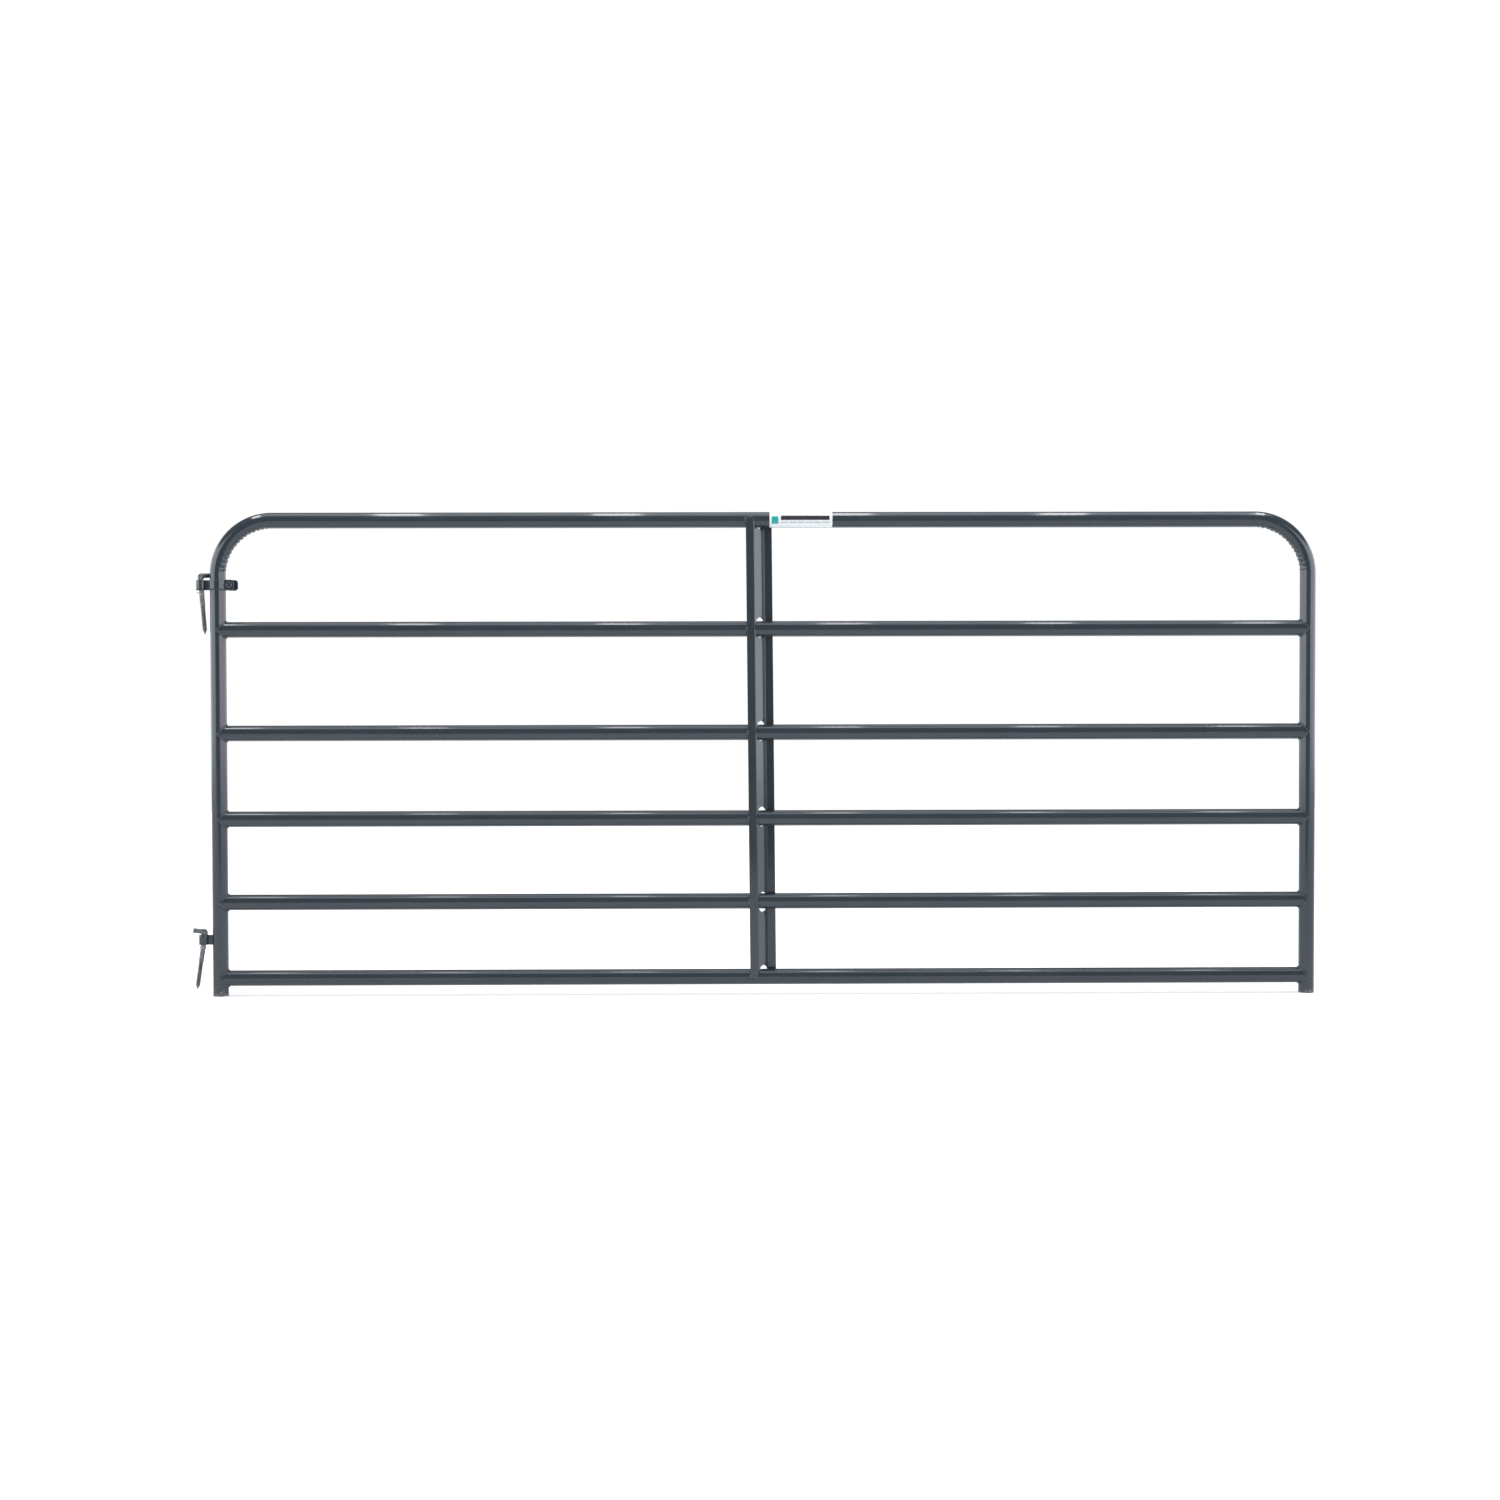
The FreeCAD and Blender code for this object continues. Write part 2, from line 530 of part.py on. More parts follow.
def tie_wires(kit):
    """The keeper wires, each wound round its hook's shank below the eye."""
    wire_r = kit.value("wire_d") / 2
    ring = kit.value("hook_d") / 2 + wire_r + kit.value("wire_gap")
    made = []
    for side in ("upper", "lower"):
        pose = hook_pose(kit, side)
        rise = kit.value(f"{side}_pin_level") - kit.value(f"{side}_eye_level")
        top = -(rise + kit.value(f"{side}_wire_drop"))
        if side == "upper":
            turns, climb = 1.117, 3.2 * wire_r
            ends = (Vector(-10.6, -ring - 0.6, top + 3.6), Vector(9.6, -ring - 0.9, top - climb - 3.4))
            start_angle = -112.0
        else:
            turns, climb = 2.9, 2.3 * wire_r
            ends = ()
            start_angle = -150.0
        steps = int(turns * 16)
        points = []
        for i in range(steps + 1):
            angle = math.radians(start_angle) + 2 * math.pi * turns * i / steps
            drop = climb * turns * i / steps
            points.append(Vector(ring * math.cos(angle), ring * math.sin(angle), top - drop))
        if ends:
            points = [ends[0]] + points + [ends[1]]
        back = Rotation(UP, -kit.value(f"{side}_hook_azimuth"))
        points = [back.multVec(p) for p in points]
        wire = kit.solid(f"{side}_tie_wire", swept_rod(points, wire_r))
        wire.Placement = pose
        made.append(wire)
    return made


def label(kit):
    """A thin printed label wrapped on the front of the top rail."""
    inner = kit.value("tube_r") + kit.value("label_gap")
    outer = inner + kit.value("label_thick")
    half = kit.value("label_half_angle")
    start = kit.value("gate_mid_x") + kit.value("label_start")
    length = kit.value("label_length")
    turn = Rotation(UP, ALONG)
    parts = []
    for name, radius in (("label_outside", outer), ("label_inside", inner)):
        body = kit.doc.addObject("Part::Cylinder", name)
        body.Radius, body.Height, body.Angle = radius, length, 2 * half
        body.Placement = Placement(Vector(start, 0, kit.value("top_level")),
                                   Rotation(ALONG, 270 - half - 90 + 90) * turn)
        kit.bind(body, "Placement.Base.z", "top_level")
        kit.bind(body, "Height", "label_length")
        parts.append(body)
    return kit.cut("label", parts[0], [parts[1]])


def saddle_bead(kit, post_x, side, level):
    """The bead where a rail meets a post: along both halves of the saddle curve."""
    r, bead = kit.value("tube_r"), kit.value("bead_radius")
    gap = kit.value("bead_gap")
    ends = math.acos(kit.value("bead_meet") / r)
    halves = []
    for up in (1, -1):
        points = []
        for i in range(13):
            t = -ends + 2 * ends * i / 12
            points.append(Vector(post_x + side * r * math.cos(t), r * math.sin(t),
                                 level + up * r * math.cos(t)))
        halves.append(swept_rod(points, bead))
    post = Part.makeCylinder(r + gap, 6 * r, Vector(post_x, 0, level - 3 * r), UP)
    rail = Part.makeCylinder(r + gap, 4 * r, Vector(post_x - side * r, 0, level), ALONG * side)
    return halves[0].fuse(halves[1]).cut([post, rail]).Solids


def post_welds(kit):
    made = []
    for name, x, side in (("left_post_welds", "post_left_x", 1), ("right_post_welds", "post_right_x", -1)):
        beads = []
        for number in range(1, 6):
            beads += saddle_bead(kit, kit.value(x), side, kit.value(f"rail_{number}_level"))
        made.append(kit.solid(name, Part.makeCompound(beads)))
    return made


def capsule(start, end, radius):
    """A bead with eased ends, turned about the line from start to end."""
    span, ease = (end - start).Length, 0.45 * radius
    points = [(0, -radius), (radius - ease, -radius), (radius, ease - radius),
              (radius, span + radius - ease), (radius - ease, span + radius), (0, span + radius)]
    corners = [Vector(x, 0, z) for x, z in points]
    bead = Part.Face(Part.makePolygon(corners + corners[:1])).revolve(Vector(), UP, 360)
    bead.Placement = Placement(start, Rotation(UP, end - start))
    return bead


def brace_welds(kit, brace):
    """Short beads between the front flange and each tube."""
    r, gap = kit.value("tube_r"), kit.value("bead_gap")
    left, mid = kit.value("brace_left"), kit.value("brace_mid_x")
    lean, strip = brace.Placement, brace.Shape
    beads = []

    def lay(level, first, last, radius):
        """A bead from first to last, each along the flange and up, cleared of the tube and the brace."""
        ends = [lean.multVec(Vector(left + x, -r - 0.3, z)) for x, z in (first, last)]
        tube = Part.makeCylinder(r + gap, 200, Vector(mid - 100, 0, level), ALONG)
        solids = capsule(ends[0], ends[1], radius).cut([tube, strip]).Solids
        beads.append(max(solids, key=lambda solid: solid.Volume))

    for name in ["top_level"] + [f"rail_{n}_level" for n in range(1, 6)]:
        level = kit.value(name)
        lay(level, (-0.6, level - 5.5), (-0.6, level + 5.5), 2.7)
    top, foot = kit.value("top_level") + kit.value("brace_end"), kit.value("brace_foot")
    lay(kit.value("top_level"), (2.5, top + 0.8), (17.0, top + 0.8), 2.2)
    lay(kit.value("rail_5_level"), (2.5, foot - 0.8), (17.0, foot - 0.8), 2.2)
    return kit.solid("brace_welds", Part.makeCompound(beads))


def hinge_weld(kit):
    """Two upright beads where the lower eye's tail meets the post."""
    r, half, gap = kit.value("tube_r"), kit.value("neck_half"), kit.value("bead_gap")
    low = kit.value("lower_eye_level") - kit.value("lower_eye_height") / 2
    height, x = kit.value("lower_eye_height"), kit.value("post_left_x")
    post = Part.makeCylinder(r + gap, height + 20, Vector(x, 0, low - 10), UP)
    tail = Part.makeBox(x, 2 * (half + gap), height + 20, Vector(0, -half - gap, low - 10))
    beads = []
    for side in (-1, 1):
        y = side * half
        root = x - math.sqrt((r + gap) ** 2 - y * y)
        bead = capsule(Vector(root, y, low + 2), Vector(root, y, low + height - 2), 3.0)
        beads += bead.cut([post, tail]).Solids
    return kit.solid("lower_hinge_weld", Part.makeCompound(beads))


def build():
    doc = FreeCAD.newDocument("livestock_panel_gate")
    kit = Kit(doc, make_sizes(doc))
    parts = [perimeter_tube(kit)] + rails(kit)
    brace = z_brace(kit)
    parts += [brace, upper_hinge_strap(kit), clamp_bolt(kit), clamp_washer(kit), clamp_nut(kit),
              lower_hinge_eye(kit)]
    parts += hooks(kit) + tie_wires(kit) + [label(kit)] + post_welds(kit)
    parts += [brace_welds(kit, brace), hinge_weld(kit)]
    doc.recompute()
    for thing in doc.Objects:
        if "Invalid" in thing.State or "Error" in thing.State:
            raise RuntimeError(f"{thing.Name} did not build: {thing.State}")
    os.makedirs("parts", exist_ok=True)
    for part in parts:
        shape = part.Shape
        if shape.isNull() or not shape.isValid() or not shape.Solids:
            raise RuntimeError(f"{part.Name} is not a valid solid")
        shape.exportStep(f"parts/{part.Name}.step")
        print(f"{part.Name}: {len(shape.Solids)} solid(s), {shape.Volume:.0f} mm3")


build()
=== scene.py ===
"""Finished look of a livestock panel gate, laid over its CAD frame."""

import json
import logging
import math
import random
from dataclasses import dataclass, field
from enum import Enum
from typing import Callable, Sequence

import bmesh
import bpy
from mathutils import Matrix, Vector, noise

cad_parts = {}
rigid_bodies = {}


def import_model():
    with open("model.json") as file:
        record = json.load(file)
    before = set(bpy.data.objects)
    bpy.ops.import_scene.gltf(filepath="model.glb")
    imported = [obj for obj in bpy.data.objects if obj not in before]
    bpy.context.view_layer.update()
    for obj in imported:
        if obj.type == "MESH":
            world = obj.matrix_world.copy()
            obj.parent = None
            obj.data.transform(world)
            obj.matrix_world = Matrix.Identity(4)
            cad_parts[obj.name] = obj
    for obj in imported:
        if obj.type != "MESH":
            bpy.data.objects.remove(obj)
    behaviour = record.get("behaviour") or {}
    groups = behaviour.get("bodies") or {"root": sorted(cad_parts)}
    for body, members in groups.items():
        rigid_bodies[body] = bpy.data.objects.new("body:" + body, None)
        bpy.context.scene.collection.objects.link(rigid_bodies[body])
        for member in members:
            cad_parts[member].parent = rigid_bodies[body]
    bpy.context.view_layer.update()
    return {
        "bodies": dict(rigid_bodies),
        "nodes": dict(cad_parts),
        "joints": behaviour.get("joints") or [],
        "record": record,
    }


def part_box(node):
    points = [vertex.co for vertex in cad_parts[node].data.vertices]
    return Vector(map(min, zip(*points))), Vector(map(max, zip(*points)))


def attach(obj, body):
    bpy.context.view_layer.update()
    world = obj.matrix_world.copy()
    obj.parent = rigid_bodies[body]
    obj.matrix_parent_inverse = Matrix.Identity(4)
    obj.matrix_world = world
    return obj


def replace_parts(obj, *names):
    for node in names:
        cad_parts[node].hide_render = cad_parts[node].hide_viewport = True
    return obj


Material = bpy.types.Material
Thing = bpy.types.Object
Socket = bpy.types.NodeSocket

LOG = logging.getLogger("panel_gate")
MM = 0.001
FRONT = Vector((0.0, -1.0, 0.0))
UP = Vector((0.0, 0.0, 1.0))
TUBE_CREASE = 40.0
SHEET_CREASE = 42.0
STRAP_CREASE = 50.0
BEAD_CREASE = 60.0
MERGE_GAP = 1e-7


class Body(Enum):
    """The CAD bodies that pieces ride on."""

    GATE = "gate"
    UPPER_HOOK = "upper_hook"
    LOWER_HOOK = "lower_hook"


class Slot(Enum):
    """The material slots of the record."""

    PAINT = "gate_paint"
    ZINC = "zinc_plate"
    WIRE = "tie_wire"
    FILM = "label_film"


# ---------------------------------------------------------------- meshes


def neighbours(count: int) -> list[tuple[int, int]]:
    """Each number below count with the next one, the last with the first."""
    return [(i, (i + 1) % count) for i in range(count)]


def lengths_along(line: Sequence[Vector]) -> list[float]:
    """How far along a line of points each of them lies."""
    way = [0.0]
    for a, b in zip(line, line[1:]):
        way.append(way[-1] + (b - a).length)
    return way


def outward_mesh(name: str, skin: "Skin", merge: float = 0.0) -> bpy.types.Mesh:
    """A mesh whose faces all look outwards.

    Args:
        name: the mesh's name.
        skin: its points and faces.
        merge: points nearer to each other than this become one.

    Returns:
        The mesh.
    """
    mesh = bpy.data.meshes.new(name)
    mesh.from_pydata([tuple(p) for p in skin.points], [], skin.faces)
    work = bmesh.new()
    work.from_mesh(mesh)
    if merge:
        bmesh.ops.remove_doubles(work, verts=work.verts, dist=merge)
    bmesh.ops.recalc_face_normals(work, faces=work.faces)
    work.to_mesh(mesh)
    work.free()
    return mesh


def smoothed(mesh: bpy.types.Mesh, sharp: float) -> None:
    """Shades a mesh smooth, but for edges turning by more degrees than sharp."""
    mesh.shade_smooth()
    mesh.set_sharp_from_angle(angle=math.radians(sharp))


@dataclass
class Skin:
    """Points and faces of a piece before it becomes a mesh."""

    points: list[Vector] = field(default_factory=list)
    faces: list[tuple[int, ...]] = field(default_factory=list)

    def rings(self, rows: Sequence[Sequence[Vector]], closed: bool = False) -> list[list[int]]:
        """Adds rings of points and the quads between neighbours.

        Args:
            rows: rings in order, all with the same number of points.
            closed: True joins the last ring to the first.

        Returns:
            The point numbers of each ring.
        """
        numbers = []
        for row in rows:
            numbers.append(list(range(len(self.points), len(self.points) + len(row))))
            self.points.extend(row)
        pairs = list(zip(numbers, numbers[1:]))
        if closed:
            pairs.append((numbers[-1], numbers[0]))
        for low, high in pairs:
            for i, j in neighbours(len(low)):
                self.faces.append((low[i], low[j], high[j], high[i]))
        return numbers

    def cap(self, ring: Sequence[int], middle: Vector, flip: bool) -> None:
        """Closes a ring with a fan to a middle point.

        Args:
            ring: point numbers round the opening.
            middle: the fan's centre.
            flip: True turns the faces over.
        """
        centre = len(self.points)
        self.points.append(middle)
        for i, j in neighbours(len(ring)):
            pair = (ring[j], ring[i]) if flip else (ring[i], ring[j])
            self.faces.append((*pair, centre))

    def absorb(self, other: "Skin") -> None:
        """Adds another skin's points and faces to this one."""
        start = len(self.points)
        self.points.extend(other.points)
        self.faces.extend(tuple(start + i for i in face) for face in other.faces)

    def piece(self, name: str, material: Material, body: Body, slot: Slot,
              sharp: float) -> Thing:
        """Makes the mesh object and lets it ride on its body.

        Args:
            name: the piece's name.
            material: its finish.
            body: the CAD body that it rides on.
            slot: the record's slot of that finish; not used.
            sharp: edges turning by more degrees than this stay crisp.

        Returns:
            The new object.
        """
        mesh = outward_mesh(name, self, MERGE_GAP)
        smoothed(mesh, sharp)
        mesh.materials.append(material)
        obj = bpy.data.objects.new(name, mesh)
        bpy.context.scene.collection.objects.link(obj)
        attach(obj, body.value)
        return obj

    def painted(self, name: str, material: Material, sharp: float = TUBE_CREASE) -> Thing:
        """Makes the mesh object as a painted piece of the gate itself."""
        return self.piece(name, material, Body.GATE, Slot.PAINT, sharp)


@dataclass(frozen=True)
class Station:
    """One cross-section of a rod: its centre and the two directions across it."""

    centre: Vector
    across: Vector
    beside: Vector

    def point(self, angle: float, radius: float) -> Vector:
        """The point at an angle from across, turning towards beside."""
        return self.centre + radius * (math.cos(angle) * self.across + math.sin(angle) * self.beside)


def stations_along(points: Sequence[Vector], closed: bool = False) -> list[Station]:
    """Cross-sections along a line of points, carried without twist.

    Args:
        points: the line.
        closed: True if the last point leads back to the first.

    Returns:
        A station for each point.
    """
    count = len(points)
    ways = []
    for i in range(count):
        before = points[i - 1] if closed or i else points[0]
        after = points[(i + 1) % count] if closed or i < count - 1 else points[-1]
        ways.append((after - before).normalized())
    side = ways[0].orthogonal().normalized()
    made = []
    for i, way in enumerate(ways):
        if i:
            side = ways[i - 1].rotation_difference(way) @ side
        side = (side - way * side.dot(way)).normalized()
        made.append(Station(points[i], side, way.cross(side)))
    return made


def rod(stations: Sequence[Station], radius: Callable[[int, float], float], sides: int,
        closed: bool = False) -> Skin:
    """A rod round the stations.

    Args:
        stations: its cross-sections.
        radius: gives the radius for a station number and an angle.
        sides: points round each ring.
        closed: True for a loop, which has no ends.

    Returns:
        The rod's skin, with both ends capped unless it is a loop.
    """
    angles = [2 * math.pi * i / sides for i in range(sides)]
    rows = [[s.point(a, radius(n, a)) for a in angles] for n, s in enumerate(stations)]
    skin = Skin()
    numbers = skin.rings(rows, closed)
    if not closed:
        skin.cap(numbers[0], stations[0].centre, True)
        skin.cap(numbers[-1], stations[-1].centre, False)
    return skin


def through(points: Sequence[Vector], steps: int) -> list[Vector]:
    """A smooth line through points.

    Args:
        points: places on the line.
        steps: new points for each gap.

    Returns:
        The points of the smooth line.
    """
    ends = [2 * points[0] - points[1], *points, 2 * points[-1] - points[-2]]
    line = []
    for a, b, c, d in zip(ends, ends[1:], ends[2:], ends[3:]):
        for i in range(steps):
            t = i / steps
            line.append(0.5 * (2 * b + (c - a) * t + (2 * a - 5 * b + 4 * c - d) * t * t
                               + (3 * b - a - 3 * c + d) * t ** 3))
    return [*line, points[-1].copy()]


def ease(low: float, high: float, value: float) -> float:
    """0 below low, 1 above high, and a smooth rise between."""
    t = min(1.0, max(0.0, (value - low) / (high - low)))
    return t * t * (3 - 2 * t)


def evened(obj: Thing, width: float) -> None:
    """Rounds the sharp edges of a sheet-metal piece.

    Args:
        obj: the piece.
        width: how far the rounding reaches from each edge, in metres.
    """
    bevel = obj.modifiers.new("eased_edges", "BEVEL")
    bevel.width = width
    bevel.segments = 2
    bevel.limit_method = "ANGLE"
    bevel.angle_limit = math.radians(SHEET_CREASE)
    bevel.harden_normals = False


# ---------------------------------------------------------------- finishes


class NodeDesk:
    """Lays out and joins nodes in one node tree."""

    def __init__(self, tree: bpy.types.NodeTree) -> None:
        """Keeps the tree."""
        self.tree = tree

    def add(self, kind: str, values: dict[str, object] | None = None, **settings: object) -> bpy.types.Node:
        """Adds a node.

        Args:
            kind: the node type, without its Shader prefix.
            values: what its inputs hold, or the sockets that feed them.
            settings: the node's own properties.

        Returns:
            The node.
        """
        node = self.tree.nodes.new(kind if kind.startswith("Node") else "ShaderNode" + kind)
        for name, value in settings.items():
            setattr(node, name, value)
        for name, value in (values or {}).items():
            self.feed(node.inputs[name], value)
        return node

    def feed(self, socket: Socket, value: object) -> None:
        """Links a socket to an input, or sets the input's own value."""
        if isinstance(value, Socket):
            self.tree.links.new(value, socket)
        else:
            socket.default_value = value

    def math(self, operation: str, first: object, second: object = 0.0,
             clamp: bool = False) -> Socket:
        """One sum, and its result."""
        node = self.add("Math", operation=operation, use_clamp=clamp)
        self.feed(node.inputs[0], first)
        self.feed(node.inputs[1], second)
        return node.outputs[0]

    def times(self, first: object, second: object, clamp: bool = False) -> Socket:
        """One product."""
        return self.math("MULTIPLY", first, second, clamp)

    def ramp(self, value: object, low: float, high: float, start: float = 0.0,
             end: float = 1.0) -> Socket:
        """A smooth step from start to end as value goes from low to high."""
        node = self.add("MapRange", interpolation_type="SMOOTHSTEP")
        for name, item in (("Value", value), ("From Min", low), ("From Max", high),
                           ("To Min", start), ("To Max", end)):
            self.feed(node.inputs[name], item)
        return node.outputs["Result"]

    def blend(self, share: object, first: object, second: object,
              mode: str = "MIX") -> Socket:
        """Mixes two colours."""
        node = self.add("Mix", data_type="RGBA", blend_type=mode)
        self.feed(node.inputs[0], share)
        self.feed(node.inputs[6], first)
        self.feed(node.inputs[7], second)
        return node.outputs[2]

    def surface(self, values: dict[str, object]) -> None:
        """Puts a Principled shader with these values on the surface."""
        shader = self.add("BsdfPrincipled", values)
        self.add("OutputMaterial", {"Surface": shader.outputs[0]})

    def speckle(self, place: object, scale: object, detail: float = 3.0,
                rough: float = 0.55) -> Socket:
        """Soft noise from 0 to 1."""
        return self.add("TexNoise", {"Vector": place, "Scale": scale, "Detail": detail,
                                     "Roughness": rough}).outputs["Fac"]


def blank_material(name: str) -> tuple[Material, NodeDesk]:
    """A material with no nodes yet, and the desk to lay them on."""
    material = bpy.data.materials.new(name)
    material.use_nodes = True
    material.node_tree.nodes.clear()
    return material, NodeDesk(material.node_tree)


class Effect:
    """A shader node group with named inputs and outputs, shared by several finishes."""

    def __init__(self, name: str, inputs: dict[str, tuple[str, object]], outputs: dict[str, str]) -> None:
        """Makes the group and its sockets.

        Args:
            name: the group's name.
            inputs: name to (kind, default) of each input.
            outputs: name to kind of each output.
        """
        self.tree = bpy.data.node_groups.new(name, "ShaderNodeTree")
        for label, (kind, value) in inputs.items():
            socket = self.tree.interface.new_socket(label, in_out="INPUT", socket_type="NodeSocket" + kind)
            socket.default_value = value
        for label, kind in outputs.items():
            self.tree.interface.new_socket(label, in_out="OUTPUT", socket_type="NodeSocket" + kind)
        self.desk = NodeDesk(self.tree)
        self.entry = self.desk.add("NodeGroupInput").outputs
        self.exit = self.desk.add("NodeGroupOutput").inputs

    def use(self, desk: NodeDesk, values: dict[str, object]) -> bpy.types.Node:
        """Places the group in a material with its own values."""
        node = desk.add("Group", node_tree=self.tree)
        for name, value in values.items():
            desk.feed(node.inputs[name], value)
        return node


class Effects:
    """The effects that the finishes share."""

    def __init__(self) -> None:
        """Builds each group once."""
        self.drift = self._drift()
        self.wear = self._wear()
        self.dust = self._dust()
        self.peel = self._peel()
        self.scratches = self._scratches()

    @staticmethod
    def _place(desk: NodeDesk) -> Socket:
        """The piece's own coordinates, in metres."""
        return desk.add("TexCoord").outputs["Object"]

    def _drift(self) -> Effect:
        """Slow change between two shades, with a finer fleck over it."""
        group = Effect("shade_drift", {"First": ("Color", (0.5, 0.5, 0.5, 1)),
                                       "Second": ("Color", (0.5, 0.5, 0.5, 1)),
                                       "Scale": ("Float", 8.0), "Fleck": ("Float", 0.25)},
                       {"Color": "Color", "Cloud": "Float"})
        desk, place = group.desk, self._place(group.desk)
        cloud = desk.ramp(desk.speckle(place, group.entry["Scale"], 4.0), 0.33, 0.67)
        fine = desk.speckle(place, desk.times(group.entry["Scale"], 60.0), 2.0, 0.7)
        share = desk.math("ADD", cloud, desk.times(desk.math("SUBTRACT", fine, 0.5),
                                                  group.entry["Fleck"]), clamp=True)
        desk.feed(group.exit["Color"], desk.blend(share, group.entry["First"], group.entry["Second"]))
        desk.feed(group.exit["Cloud"], cloud)
        return group

    def _wear(self) -> Effect:
        """Where a coat has rubbed through along edges, broken up by noise."""
        group = Effect("edge_rub", {"Reach": ("Float", 0.53), "Breakup": ("Float", 140.0),
                                    "Amount": ("Float", 1.0)}, {"Mask": "Float", "Hollow": "Float"})
        desk, place = group.desk, self._place(group.desk)
        edge = desk.add("NewGeometry").outputs["Pointiness"]
        grain = desk.speckle(place, group.entry["Breakup"], 5.0, 0.7)
        lift = desk.math("ADD", edge, desk.times(desk.math("SUBTRACT", grain, 0.62), 0.16))
        reach = group.entry["Reach"]
        mask = desk.ramp(lift, reach, desk.math("ADD", reach, 0.03))
        desk.feed(group.exit["Mask"], desk.times(mask, group.entry["Amount"], clamp=True))
        # Hollow marks concave places; the zinc finishes darken them there as painted shade
        desk.feed(group.exit["Hollow"], desk.ramp(edge, 0.5, 0.42))
        return group

    def _dust(self) -> Effect:
        """Fine dust on upward faces and splashes near the ground."""
        group = Effect("yard_dust", {"Amount": ("Float", 0.3), "Ground": ("Float", 0.12)},
                       {"Mask": "Float"})
        desk, place = group.desk, self._place(group.desk)
        facing = desk.add("SeparateXYZ", {"Vector": desk.add("NewGeometry").outputs["Normal"]}).outputs["Z"]
        lying = desk.ramp(facing, 0.35, 1.0)
        cloud = desk.ramp(desk.speckle(place, 22.0, 5.0, 0.65), 0.42, 0.72)
        height = desk.add("SeparateXYZ", {"Vector": place}).outputs["Z"]
        low = desk.math("DIVIDE", height, group.entry["Ground"])
        splash = desk.times(desk.ramp(low, 1.0, 0.0),
                           desk.ramp(desk.speckle(place, 160.0, 4.0, 0.6), 0.52, 0.66))
        both = desk.math("MAXIMUM", desk.times(lying, cloud), splash)
        desk.feed(group.exit["Mask"], desk.times(both, group.entry["Amount"], clamp=True))
        return group

    def _peel(self) -> Effect:
        """The gentle orange peel of a sprayed or dipped coat."""
        group = Effect("coat_peel", {"Scale": ("Float", 260.0), "Fine": ("Float", 0.25)},
                       {"Height": "Float"})
        desk, place = group.desk, self._place(group.desk)
        wide = desk.speckle(place, group.entry["Scale"], 1.0, 0.4)
        fine = desk.speckle(place, desk.times(group.entry["Scale"], 5.0), 2.0, 0.5)
        desk.feed(group.exit["Height"], desk.math(
            "ADD", wide, desk.times(fine, group.entry["Fine"])))
        return group

    def _scratches(self) -> Effect:
        """Sparse short scratches in a chosen direction."""
        group = Effect("handling_marks", {"Stretch": ("Vector", (300.0, 300.0, 30.0)),
                                          "Sparse": ("Float", 0.68)}, {"Mask": "Float"})
        desk, place = group.desk, self._place(group.desk)
        long = desk.add("VectorMath", {0: place, 1: group.entry["Stretch"]}, operation="MULTIPLY")
        lines = desk.speckle(long.outputs[0], 1.0, 2.0, 0.5)
        where = desk.ramp(desk.speckle(place, 14.0, 3.0), 0.5, 0.62)
        sparse = group.entry["Sparse"]
        mask = desk.ramp(lines, sparse, desk.math("ADD", sparse, 0.04))
        desk.feed(group.exit["Mask"], desk.times(mask, where))
        return group


@dataclass(frozen=True)
class PowderCoat:
    """Glossy slate powder coat over steel."""

    name: str = "slate_powder_coat"
    shade: tuple[float, float, float] = (0.0200, 0.0290, 0.0365)
    other: tuple[float, float, float] = (0.0240, 0.0330, 0.0405)
    bare: tuple[float, float, float] = (0.20, 0.20, 0.195)
    dust: tuple[float, float, float] = (0.20, 0.18, 0.15)
    gloss: float = 0.085
    wear_reach: float = 0.56
    wear: float = 0.75
    peel_depth: float = 0.05
    dust_amount: float = 0.07
    scuffed: tuple[float, float, float] = (0.06, 0.07, 0.08)
    scuff: float = 0.25
    peel_scale: float = 330.0
    bare_metal: float = 0.6
    rub_rough: float = 0.22
    dust_rough: float = 0.9
    scuff_rough: float = 0.12

    def make(self, effects: Effects) -> Material:
        """Builds the material.

        Args:
            effects: the shared node groups.

        Returns:
            The material.
        """
        material, desk = blank_material(self.name)
        drift = effects.drift.use(desk, {"First": (*self.shade, 1), "Second": (*self.other, 1),
                                         "Scale": 6.0, "Fleck": 0.3})
        wear = effects.wear.use(desk, {"Reach": self.wear_reach, "Amount": self.wear})
        dust = effects.dust.use(desk, {"Amount": self.dust_amount})
        marks = effects.scratches.use(desk, {"Stretch": (60.0, 500.0, 500.0), "Sparse": 0.7})
        peel = effects.peel.use(desk, {"Scale": self.peel_scale, "Fine": 0.18})
        rub, grit, scuff = (effect.outputs["Mask"] for effect in (wear, dust, marks))
        painted = desk.blend(desk.times(scuff, self.scuff), drift.outputs["Color"], (*self.scuffed, 1))
        rubbed = desk.blend(rub, painted, (*self.bare, 1))
        colour = desk.blend(grit, rubbed, (*self.dust, 1))
        rough = desk.ramp(drift.outputs["Cloud"], 0.0, 1.0, self.gloss, self.gloss + 0.03)
        for mask, extra in ((rub, self.rub_rough), (grit, self.dust_rough), (scuff, self.scuff_rough)):
            rough = desk.math("ADD", rough, desk.times(mask, extra))
        height = desk.math("SUBTRACT", peel.outputs["Height"], desk.times(rub, 0.6))
        bump = desk.add("Bump", {"Strength": self.peel_depth, "Distance": 0.0008, "Height": height})
        desk.surface({"Base Color": colour, "Roughness": rough,
                      "Metallic": desk.times(rub, self.bare_metal),
                      "Normal": bump.outputs["Normal"], "IOR": 1.5})
        return material


